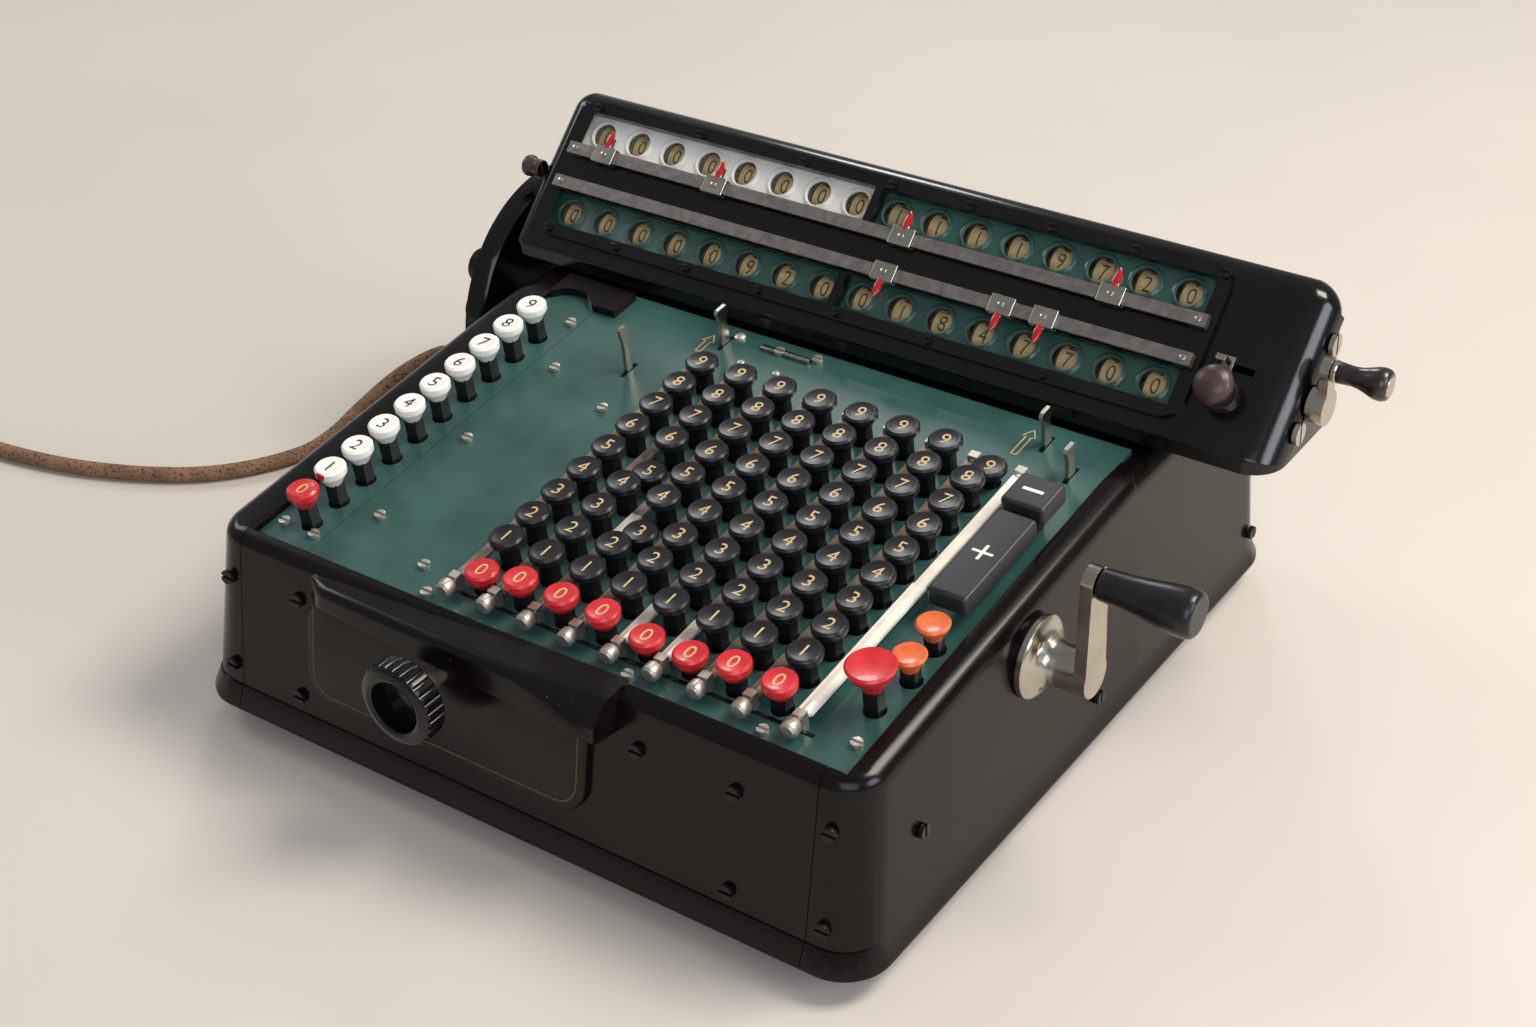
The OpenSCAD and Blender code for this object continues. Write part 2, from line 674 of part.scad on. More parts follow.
module crank_grip() color(black) along_x(grip_x, crank_y, crank_z + crank_throw) difference() {
    rotate_extrude() polygon([[0, 0], [grip_d * 0.3, 0], [grip_d * 0.34, 1], [grip_d * 0.36, grip_l * 0.2],
        [grip_d * 0.42, grip_l * 0.45], [grip_d * 0.49, grip_l * 0.7], [grip_d * 0.5, grip_l * 0.82],
        [grip_d * 0.46, grip_l * 0.93], [grip_d * 0.34, grip_l * 0.985], [grip_d * 0.18, grip_l], [0,
            grip_l]]);
    translate([0, 0, -cut]) cylinder(r = pin_r + run_gap, h = grip_l - pin_short + clear + cut);
}

module shift_knob() color(black) translate([knob_x, knob_face_y, knob_z]) along_y() difference() {
    union() {
        rotate_extrude() polygon([[0, 6], [knob_d / 2 - 6, 6], [knob_d / 2 - 5, 0.6], [knob_d / 2 - 3.5, 0],
            [knob_d / 2 - 1, 0.8], [knob_d / 2, 2], [knob_d / 2, knob_t - 1], [knob_d / 2 - 1, knob_t],
                [0, knob_t]]);
        translate([0, 0, knob_t - 1]) cylinder(d = knob_shaft_d,
            h = knob_shaft_end - knob_face_y - knob_t + 1);
    }
    for (i = [0:29]) rotate([0, 0, i * 12]) translate([knob_d / 2 + 0.4, 0, -1]) cylinder(r = 1,
        h = knob_t + 2);
}

// Motor bell on the left with its brush caps and the cord's strain relief
module motor_housing() color(black) {
    along_x(bell_x, bell_y, bell_z) cylinder(r = neck_r, h = -bell_x - outer_x(bell_y, bell_z,
        neck_r) - clear);
    along_x(bell_x - bell_t, bell_y, bell_z) rotate_extrude() polygon([[0, 0], [bell_d / 2 - 20, 0],
        [bell_d / 2 - 8, 1.5], [bell_d / 2 - 4, 4], [bell_d / 2 - 3, 6], [bell_d / 2, 6.5], [bell_d / 2,
            bell_t - 3],
        [bell_d / 2 - 2, bell_t], [0, bell_t]]);
    for (p = [[-30, 22], [-34, 6], [-28, -14]]) along_x(bell_x - bell_t - cap_l + 4, bell_y + p[0],
        bell_z + p[1])
        cylinder(r = 6.5, h = cap_l);
    along_x(relief_x - relief_l, relief_y, relief_z) cylinder(r1 = cord_r + 0.6, r2 = 6, h = relief_l + 5);
}

// Carriage shell, dials and fittings
module carriage_outline(inset, low) {
    r = crease_r - inset;
    big = top_r - inset;
    n = [-sin(face_slope), cos(face_slope)];
    a = [face_py(crease_s, skin_h - crease_r), face_pz(crease_s, skin_h - crease_r)];
    b = [face_py(top_s, skin_h - top_r), face_pz(top_s, skin_h - top_r)];
    polygon([[a[0] - r, low], [a[0] - r, a[1]], a + r * n, b + big * n, b + [big, 0], [b[0] + big, low]]);
    translate(a) circle(r);
    translate(b) circle(big);
}

module carriage_block(inset, low) translate([carriage_left + inset, 0, 0]) rotate([90, 0, 90])
    linear_extrude(carriage_l - 2 * inset) carriage_outline(inset, low);

module windows(s, h, t, slack) for (x = [[window_left, window_split - split_w / 2],
        [window_split + split_w / 2, window_right]])
    on_face(x[0] + slack, s - window_h / 2 + slack) translate([0, 0, h])
        cube([x[1] - x[0] - 2 * slack, window_h - 2 * slack, t]);

module carriage_cover() color(black) difference() {
    union() {
        carriage_block(0, floor_z);
        on_face(bezel_left, -11) translate([0, 0, skin_h - 1]) linear_extrude(1 - skin_h)
            rounded_rect(bezel_right - bezel_left, 54, 8);
    }
    carriage_block(shell_t, floor_z - cut);
    for (s = [0, dial_row_gap]) windows(s, -9, 12, 0);
    along_x(carriage_right - 10, clear_y, clear_z) cylinder(r = clear_shaft_r + 0.3, h = 30);
    on_face(push_x, push_s) translate([0, 0, -9]) cylinder(r = push_stem_r + run_gap, h = 12);
    on_face(slot_x - slot_l / 2, slot_s - slot_w / 2) translate([0, 0, -9]) cube([slot_l, slot_w, 12]);
}

module carriage_base() color("gray") difference() {
    union() {
        translate([carriage_left + 5, face_py(crease_s, skin_h - crease_r) + 1, floor_z])
            cube([carriage_l - 10, back_y - face_py(crease_s, skin_h - crease_r) - 2, base_floor_t]);
        for (x = [carriage_left + bracket_inset, carriage_right - bracket_inset - bracket_t])
            translate([x, 0, 0]) rotate([90, 0, 90]) linear_extrude(bracket_t)
                polygon([[face_y - 3.4, floor_z + 1], [back_y, floor_z + 1], [back_y, face_pz(30, -10)],
                    [face_py(34, -9), face_pz(34, -9)], [face_py(-6, -9), face_pz(-6, -9)]]);
    }
    for (s = [0, dial_row_gap]) along_x(-250, dial_axis(s)[0], dial_axis(s)[1])
        cylinder(r = axle_r + run_gap, h = 500);
    along_x(0, clear_y, clear_z) cylinder(r = clear_shaft_r + run_gap, h = 300);
}

module mask(x0, x1, s) on_face() translate([0, 0, mask_h]) difference() {
    translate([x0, s - window_h / 2 - 2.4, 0]) cube([x1 - x0, window_h + 4.8, mask_t]);
    for (i = [0:dials - 1]) translate([dial_x + i * column_pitch, s, -1]) cylinder(d = mask_hole_d,
        h = mask_t + 2);
}

module dial_masks() color(green) {
    mask(window_left - 2, window_right + 2, 0);
    mask(window_left - 2, window_split - 0.2, dial_row_gap);
    mask(window_split + 0.2, window_right + 2, dial_row_gap);
}

module window_glass() color([0.8, 0.9, 0.9, 0.4]) for (s = [0, dial_row_gap]) windows(s, glass_h, glass_t,
    0.2);

module dial_row(s) color(ivory) {
    along_x(carriage_left + bracket_inset - 2, dial_axis(s)[0], dial_axis(s)[1])
        cylinder(r = axle_r, h = carriage_l - 2 * bracket_inset + 4);
    for (i = [0:dials - 1]) along_x(dial_x + i * column_pitch - dial_w / 2, dial_axis(s)[0],
        dial_axis(s)[1])
        cylinder(r = dial_r, h = dial_w);
}

module lower_dials() dial_row(0);
module upper_dials() dial_row(dial_row_gap);

module carriage_trim() color(nickel) {
    // Marker rails on four short feet, and the screws of the carriage
    for (s = rail_s) on_face(marker_rail_left, s - marker_rail_w / 2) {
        translate([0, 0, 1.2]) cube([marker_rail_right - marker_rail_left, marker_rail_w, marker_rail_t]);
        for (x = [0, marker_rail_right - marker_rail_left - 6]) translate([x, 0, 0.05]) cube([6,
            marker_rail_w, 1.5]);
    }
    for (x = [-127, -80, -35, 2, 33, 65, 96, 128]) on_face(x, 40) translate([0, 0, 0.05]) screw_head(3.4);
    for (x = [-126, -95, -63, -31.5, 1, 38, 82]) on_face(x, -8.8) translate([0, 0, 0.05]) screw_head(2.8);
    for (p = [[30.6, 30], [7.6, 9]]) along_x(carriage_right + 0.1, face_y + p[0], floor_z + p[1])
        screw_head(7.5);
    // Collar of the push knob and the stop pin on the left end
    on_face(push_x, push_s) translate([0, 0, skin_h + 0.05]) difference() {
        cylinder(r = 5.5, h = 2.5);
        translate([0, 0, -1]) cylinder(r = push_stem_r + 0.4, h = 5);
    }
    along_x(carriage_left - 0.1 - stop_l, face_y + 12.6 + stop_rise,
        stop_z + stop_rise) cylinder(r = stop_r,
        h = stop_l);
}

module marker(row) {
    d = row == 0 ? -1 : 1;
    difference() {
        translate([-4.5, -marker_rail_w / 2 - 1, 0.6]) cube([9, marker_rail_w + 2, 3.4]);
        translate([-6, -marker_rail_w / 2 - 0.25, 0.95])
            cube([12, marker_rail_w + 0.5, marker_rail_t + 0.5]);
    }
    translate([-1.2, d > 0 ? marker_rail_w / 2 + 0.6 : -marker_rail_w / 2 - 5.1, 1.2]) cube([2.4, 4.5, 2]);
}

module decimal_markers() color(nickel) for (row = [0, 1], x = marker_x[row]) on_face(x,
    rail_s[row]) marker(row);

module clear_crank() color(nickel) {
    along_x(carriage_right - bracket_inset - bracket_t - 3, clear_y, clear_z)
        cylinder(r = clear_shaft_r, h = bracket_inset + bracket_t + 6);
    along_x(carriage_right + 0.3, clear_y, clear_z) cylinder(r = clear_hub_r, h = 3);
    along_x(clear_arm_x, clear_y, clear_z) {
        linear_extrude(clear_arm_t) {
            circle(clear_hub_r);
            translate([-clear_throw, 0]) circle(4);
            translate([-clear_throw, -3]) square([clear_throw, 6]);
        }
        translate([-clear_throw, 0, 1]) cylinder(r = clear_pin_r, h = clear_arm_t + clear_grip_l - 3);
    }
}

module clear_grip() color(brown)
    along_x(clear_arm_x + clear_arm_t + clear, clear_y, clear_z + clear_throw) difference() {
        rotate_extrude() polygon([[0, 0], [3.2, 0], [3.5, 0.8], [3.6, 5], [4.3, 9], [5.4, 13], [5.4,
            clear_grip_l - 2],
            [4.4, clear_grip_l - 0.5], [3, clear_grip_l], [0, clear_grip_l]]);
        translate([0, 0, -cut]) cylinder(r = clear_pin_r + run_gap, h = clear_grip_l - 2 + cut);
    }

module carriage_knob() color(brown) on_face(push_x, push_s) {
    translate([0, 0, -8]) cylinder(r = push_stem_r, h = 15);
    translate([0, 0, 6]) rotate_extrude() polygon([[0, 0], [push_knob_d / 2 - 2, 0], [push_knob_d / 2, 1.5],
        [push_knob_d / 2, 3], [push_knob_d / 2 - 1, 4.6], [push_knob_d / 2 - 3, 5.8], [0, 6.6]]);
}

module counter_lever() color(nickel) on_face(slot_x - 3, slot_s) {
    translate([-1.2, -slot_w / 2 + 0.3, -7]) cube([2.4, slot_w - 0.6, 8]);
    translate([-2, -3, skin_h + 0.3]) cube([4, 6, 1.2]);
    translate([-1.6, -1, 0]) cube([3.2, 2, 7]);
}

// Cord: a tube swept along the route, and a coil that spirals in and out in layers
function unit(v) = v / norm(v);
function tangent(p, i) = unit(p[min(i + 1, len(p) - 1)] - p[max(i - 1, 0)]);
function side(t) = unit(cross(t, [0, 0, 1]));
function loop(p, t, r, sides) = let (a = side(t), b = cross(a, t))
    [for (k = [0:sides - 1]) p + r * (cos(360 * k / sides) * a + sin(360 * k / sides) * b)];
module tube(path, r, sides) {
    n = len(path);
    points = [for (i = [0:n - 1]) each loop(path[i], tangent(path, i), r, sides)];
    walls = [for (i = [0:n - 2], k = [0:sides - 1]) let (a = i * sides + k, b = i * sides + (k + 1) % sides)
        each [[a, b, b + sides], [a, b + sides, a + sides]]];
    last = (n - 1) * sides;
    caps = [for (k = [1:sides - 2]) each [[0, k + 1, k], [last, last + k, last + k + 1]]];
    polyhedron(points, concat(walls, caps));
}
function blend(p, i, t) = let (a = p[max(i - 1, 0)], b = p[i], c = p[i + 1], d = p[min(i + 2, len(p) - 1)])
    0.5 * (2 * b + (c - a) * t + (2 * a - 5 * b + 4 * c - d) * t * t + (3 * b - a - 3 * c + d) * t * t * t);
lead_path = concat([for (i = [0:len(route) - 2], k = [0:1]) blend(route, i, k / 2)],
    [route[len(route) - 1]]);

// Turns done before each layer, with half a turn of climb between layers
layer_span = layer_turns + 0.5;
total_turns = layers * layer_turns + (layers - 1) * 0.5;
function layer_of(u) = min(floor(u / layer_span), layers - 1);
function layer_part(u) = u - layer_of(u) * layer_span;
function coil_radius(u) = let (k = layer_of(u), p = min(layer_part(u), layer_turns))
    k % 2 == 0 ? coil_r - p * coil_step : coil_r - (layer_turns - p) * coil_step;
function coil_z(u) = cord_z + coil_step * (layer_of(u) + max(layer_part(u) - layer_turns, 0) * 2);
function coil_point(u) = [coil_x - coil_radius(u) * sin(360 * u), coil_y + coil_radius(u) * cos(360 * u),
    coil_z(u)];
function ease(t) = t * t * (3 - 2 * t);
coil_top = coil_z(total_turns);
winding = [for (i = [0:total_turns * loop_rings]) coil_point(i / loop_rings)];
coil_path = concat([[coil_x + 6, coil_y + coil_r, cord_z]], winding,
    [for (k = [1:5]) [coil_x + tail_l * k / 5, coil_y - coil_r,
        coil_top + (tail_z - coil_top) * ease(k / 5)]],
    [[coil_x + tail_l + 6, coil_y - coil_r, tail_z]]);
half_loop = loop_rings / 2;
coil_gap = min([for (i = [0:len(winding) - half_loop - 1]) min([for (j = [i + half_loop:len(winding) - 1])
    norm(winding[i] - winding[j])])]) - cord_d;
echo("least gap of the coil to itself, mm", coil_gap);

module cord_lead() color("saddlebrown") tube(lead_path, cord_r, 10);
module cord_coil() color("saddlebrown") tube(coil_path, cord_r, 6);

module plug() color(black) along_x(coil_x + tail_l + 6, coil_y - coil_r, tail_z) {
    rotate_extrude() polygon([[0, 0], [cord_r + 1.5, 0], [cord_r + 2.5, 10], [plug_r, 16], [plug_r, plug_l],
        [0, plug_l]]);
    for (y = [-1, 1] * 6.35) translate([-3.1, y - 0.75, plug_l - 0.5]) cube([6.2, 1.5, 17]);
}

place() base_plate();
place() front_panel();
place() shift_cover();
place() left_cover();
place() right_cover();
place() rear_cover();
place() keyboard_plate();
place() multiplier_plate();
place() rubber_feet();
place() case_screws();
place() inner_frame();
place() motor_housing();
place() cord_lead();
place() cord_coil();
place() plug();
for (c = [1:columns]) place() number_keys(c - 1);
place() latched_keys();
place() zero_keys();
place() multiplier_keys();
place() plus_bar();
place() minus_bar();
place() clear_key();
place() repeat_keys();
for (i = [1:rods]) place() decimal_rod(i);
for (i = [1:4]) place() plate_lever(lever_pos[i - 1]);
place() main_crank();
place() crank_grip();
place() main_shaft();
place() stepped_drums();
place() shift_knob();
place() carriage_base();
place() carriage_cover();
place() dial_masks();
place() window_glass();
place() lower_dials();
place() upper_dials();
place() carriage_trim();
place() decimal_markers();
place() clear_crank();
place() clear_grip();
place() carriage_knob();
place() counter_lever();
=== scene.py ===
import math

import bmesh
import bpy
from mathutils import Matrix, Vector


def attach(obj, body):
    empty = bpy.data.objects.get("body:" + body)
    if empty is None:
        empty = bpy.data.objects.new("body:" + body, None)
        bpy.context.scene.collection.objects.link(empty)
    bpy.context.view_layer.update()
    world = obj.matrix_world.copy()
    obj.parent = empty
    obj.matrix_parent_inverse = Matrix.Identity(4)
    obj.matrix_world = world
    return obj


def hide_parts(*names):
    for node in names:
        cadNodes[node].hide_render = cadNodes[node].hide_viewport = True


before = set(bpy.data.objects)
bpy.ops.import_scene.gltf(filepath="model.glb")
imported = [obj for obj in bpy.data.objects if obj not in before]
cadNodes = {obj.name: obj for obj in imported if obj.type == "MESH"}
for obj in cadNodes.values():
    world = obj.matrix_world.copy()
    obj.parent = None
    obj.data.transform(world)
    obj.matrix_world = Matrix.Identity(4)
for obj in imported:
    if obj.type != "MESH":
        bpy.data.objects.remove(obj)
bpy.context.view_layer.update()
mm = 0.001

# Shared places of the part, in millimetres, as in its source
place = {"midX": 0.15, "midY": 129.5, "plateY": 16.0, "plateZ": 70.0, "tilt": 6.7, "faceY": 195.353,
         "faceZ": 109.284, "slope": 43.9, "lean": 9.96, "footH": 9.0, "columns": 8, "columnPitch": 16.0,
         "rowPitch": 13.1, "firstColumn": -25.0, "zeroV": 14.5, "dials": 16, "firstDial": -123.0,
         "dialRowGap": 32.0}
mergeGap = 0.00001


def row(x, y, z):
    return Vector(((x - place["midX"]) * mm, (y - place["midY"]) * mm, z * mm))


def tilted(originY, originZ, angle):
    turn = Matrix.Rotation(math.radians(angle), 4, "X")
    return Matrix.Translation(row(0, originY, originZ)) @ turn @ Matrix.Diagonal((mm, mm, mm, 1))


onPlate = tilted(place["plateY"], place["plateZ"], place["tilt"])
onFace = tilted(place["faceY"], place["faceZ"], place["slope"])
onFront = tilted(0, place["footH"], -place["lean"])
frontPlane = onFront @ Matrix.Rotation(math.radians(90), 4, "X")
toPlate = onPlate.inverted()
toFace = onFace.inverted()


# Camera at the photograph's angle
cameraSet = {"at": (401.07, -406.65, 489.33), "azimuth": 35.94, "elevation": 33.09, "roll": -2.09, "lens": 55.36,
             "sensor": 36, "clipEnd": 20}


def makeCamera(s):
    az, el, roll = (math.radians(s[k]) for k in ("azimuth", "elevation", "roll"))
    look = Vector((-math.sin(az) * math.cos(el), math.cos(az) * math.cos(el), -math.sin(el)))
    flat = Vector((math.cos(az), math.sin(az), 0))
    over = flat.cross(look)
    right = flat * math.cos(roll) + over * math.sin(roll)
    up = right.cross(look)
    data = bpy.data.cameras.new("camera")
    data.lens = s["lens"]
    data.sensor_width = s["sensor"]
    data.clip_end = s["clipEnd"]
    obj = bpy.data.objects.new("camera", data)
    bpy.context.scene.collection.objects.link(obj)
    turn = Matrix((right, up, -look)).transposed().to_4x4()
    obj.matrix_world = Matrix.Translation(row(*s["at"])) @ turn
    bpy.context.scene.camera = obj


makeCamera(cameraSet)
print("stage: camera")


# Materials
def linear(hexColor):
    parts = [int(hexColor[i:i + 2], 16) / 255 for i in (1, 3, 5)]
    return tuple(p / 12.92 if p <= 0.04045 else ((p + 0.055) / 1.055) ** 2.4 for p in parts) + (1,)


def addNode(tree, kind, links=None, **values):
    node = tree.nodes.new(kind)
    for key, value in values.items():
        if key in node.inputs:
            node.inputs[key].default_value = value
        else:
            setattr(node, key, value)
    for socket, source in (links or {}).items():
        tree.links.new(source, node.inputs[socket])
    return node


def noise(tree, coords, sizeMm, detail):
    node = addNode(tree, "ShaderNodeTexNoise", {"Vector": coords}, Scale=1 / (sizeMm * mm), Detail=detail)
    return node.outputs["Fac"]


def ramp(tree, factor, stops):
    node = addNode(tree, "ShaderNodeValToRGB", {"Fac": factor})
    for i, (at, color) in enumerate(stops):
        element = node.color_ramp.elements[i] if i < 2 else node.color_ramp.elements.new(at)
        element.position = at
        element.color = color
    return node.outputs["Color"]


def mixColor(tree, factor, a, b):
    node = addNode(tree, "ShaderNodeMix", data_type="RGBA")
    tree.links.new(factor, node.inputs[0])
    for slot, value in ((6, a), (7, b)):
        if isinstance(value, (tuple, list)):
            node.inputs[slot].default_value = value
        else:
            tree.links.new(value, node.inputs[slot])
    return node.outputs[2]


def finish(name, color, rough, metal=0.0, coat=0.0, mottle=0.12, mottleMm=8.0, grainMm=0.8, bump=0.1,
           depthMm=0.05, specks=None, speckMm=1.4, speckAt=0.7, roughSpan=0.1, paint=None, **shader):
    material = bpy.data.materials.new(name)
    material.use_nodes = True
    tree = material.node_tree
    base = tree.nodes["Principled BSDF"]
    coords = addNode(tree, "ShaderNodeTexCoord").outputs["Object"]
    dark = tuple(c * (1 - mottle) for c in linear(color)[:3]) + (1,)
    light = tuple(min(1, c * (1 + mottle)) for c in linear(color)[:3]) + (1,)
    cloud = noise(tree, coords, mottleMm, 4.0)
    tone = ramp(tree, cloud, [(0.3, dark), (0.7, light)])
    if paint:
        tone = paint(tree, coords, tone)
    if specks:
        spots = noise(tree, coords, speckMm, 2.0)
        mask = ramp(tree, spots, [(speckAt, (0, 0, 0, 1)), (speckAt + 0.06, (1, 1, 1, 1))])
        tone = mixColor(tree, mask, tone, linear(specks))
    tree.links.new(tone, base.inputs["Base Color"])
    grain = noise(tree, coords, grainMm, 3.0)
    span = addNode(tree, "ShaderNodeMapRange", {"Value": cloud})
    span.inputs["To Min"].default_value = max(0.02, rough - roughSpan)
    span.inputs["To Max"].default_value = min(1, rough + roughSpan)
    tree.links.new(span.outputs[0], base.inputs["Roughness"])
    relief = addNode(tree, "ShaderNodeBump", {"Height": grain}, Strength=bump, Distance=depthMm * mm)
    tree.links.new(relief.outputs[0], base.inputs["Normal"])
    base.inputs["Metallic"].default_value = metal
    base.inputs["Coat Weight"].default_value = coat
    for key, value in shader.items():
        base.inputs[key].default_value = value
    return material


def beyond(tree, coords, axis, edgeMm, direction=None):
    # White where the point lies past a plane, in row coordinates
    vector = direction or {"x": (1, 0, 0), "y": (0, 1, 0), "z": (0, 0, 1)}[axis]
    dot = addNode(tree, "ShaderNodeVectorMath", {0: coords}, operation="DOT_PRODUCT")
    dot.inputs[1].default_value = vector
    step = addNode(tree, "ShaderNodeMath", {0: dot.outputs["Value"]}, operation="GREATER_THAN")
    step.inputs[1].default_value = edgeMm * mm
    return step.outputs[0]


# The dark colour at the sides of the dials is a painted shade of the windows round them
paintSet = {"upperRow": 16.0, "whiteTo": -2.5, "white": "#f2f0e8", "bandHalf": 3.5, "windowShade": "#4d4330",
            "redTo": 19.0, "ivory": "#f3f0e8"}
faceCos, faceSin = math.cos(math.radians(place["slope"])), math.sin(math.radians(place["slope"]))
slopeUp = (0, faceCos, faceSin)
upperRowEdge = Vector(slopeUp).dot(onFace @ Vector((0, paintSet["upperRow"], 0))) / mm


def whitePlate(tree, coords, tone):
    upper = beyond(tree, coords, None, upperRowEdge, slopeUp)
    right = beyond(tree, coords, "x", paintSet["whiteTo"] - place["midX"])
    left = addNode(tree, "ShaderNodeMath", {1: right}, operation="SUBTRACT")
    left.inputs[0].default_value = 1
    both = addNode(tree, "ShaderNodeMath", {0: upper, 1: left.outputs[0]}, operation="MULTIPLY")
    return mixColor(tree, both.outputs[0], tone, linear(paintSet["white"]))


def dialBand(tree, coords, tone):
    # The cream drum seen in a window is narrower than this dial; its sides are painted dark as the shade in the
    # window round it
    parts = addNode(tree, "ShaderNodeSeparateXYZ", {0: coords})
    shift = addNode(tree, "ShaderNodeMath", {0: parts.outputs["X"]}, operation="SUBTRACT")
    shift.inputs[1].default_value = row(place["firstDial"], 0, 0).x
    wrap = addNode(tree, "ShaderNodeMath", {0: shift.outputs[0]}, operation="PINGPONG")
    wrap.inputs[1].default_value = place["columnPitch"] * mm / 2
    side = addNode(tree, "ShaderNodeMath", {0: wrap.outputs[0]}, operation="GREATER_THAN")
    side.inputs[1].default_value = paintSet["bandHalf"] * mm
    return mixColor(tree, side.outputs[0], tone, linear(paintSet["windowShade"]))


def redZero(tree, coords, tone):
    # Ivory behind the nought of the multiplier row
    edge = (onPlate @ Vector((0, paintSet["redTo"], 0))).y / mm
    return mixColor(tree, beyond(tree, coords, "y", edge), tone, linear(paintSet["ivory"]))


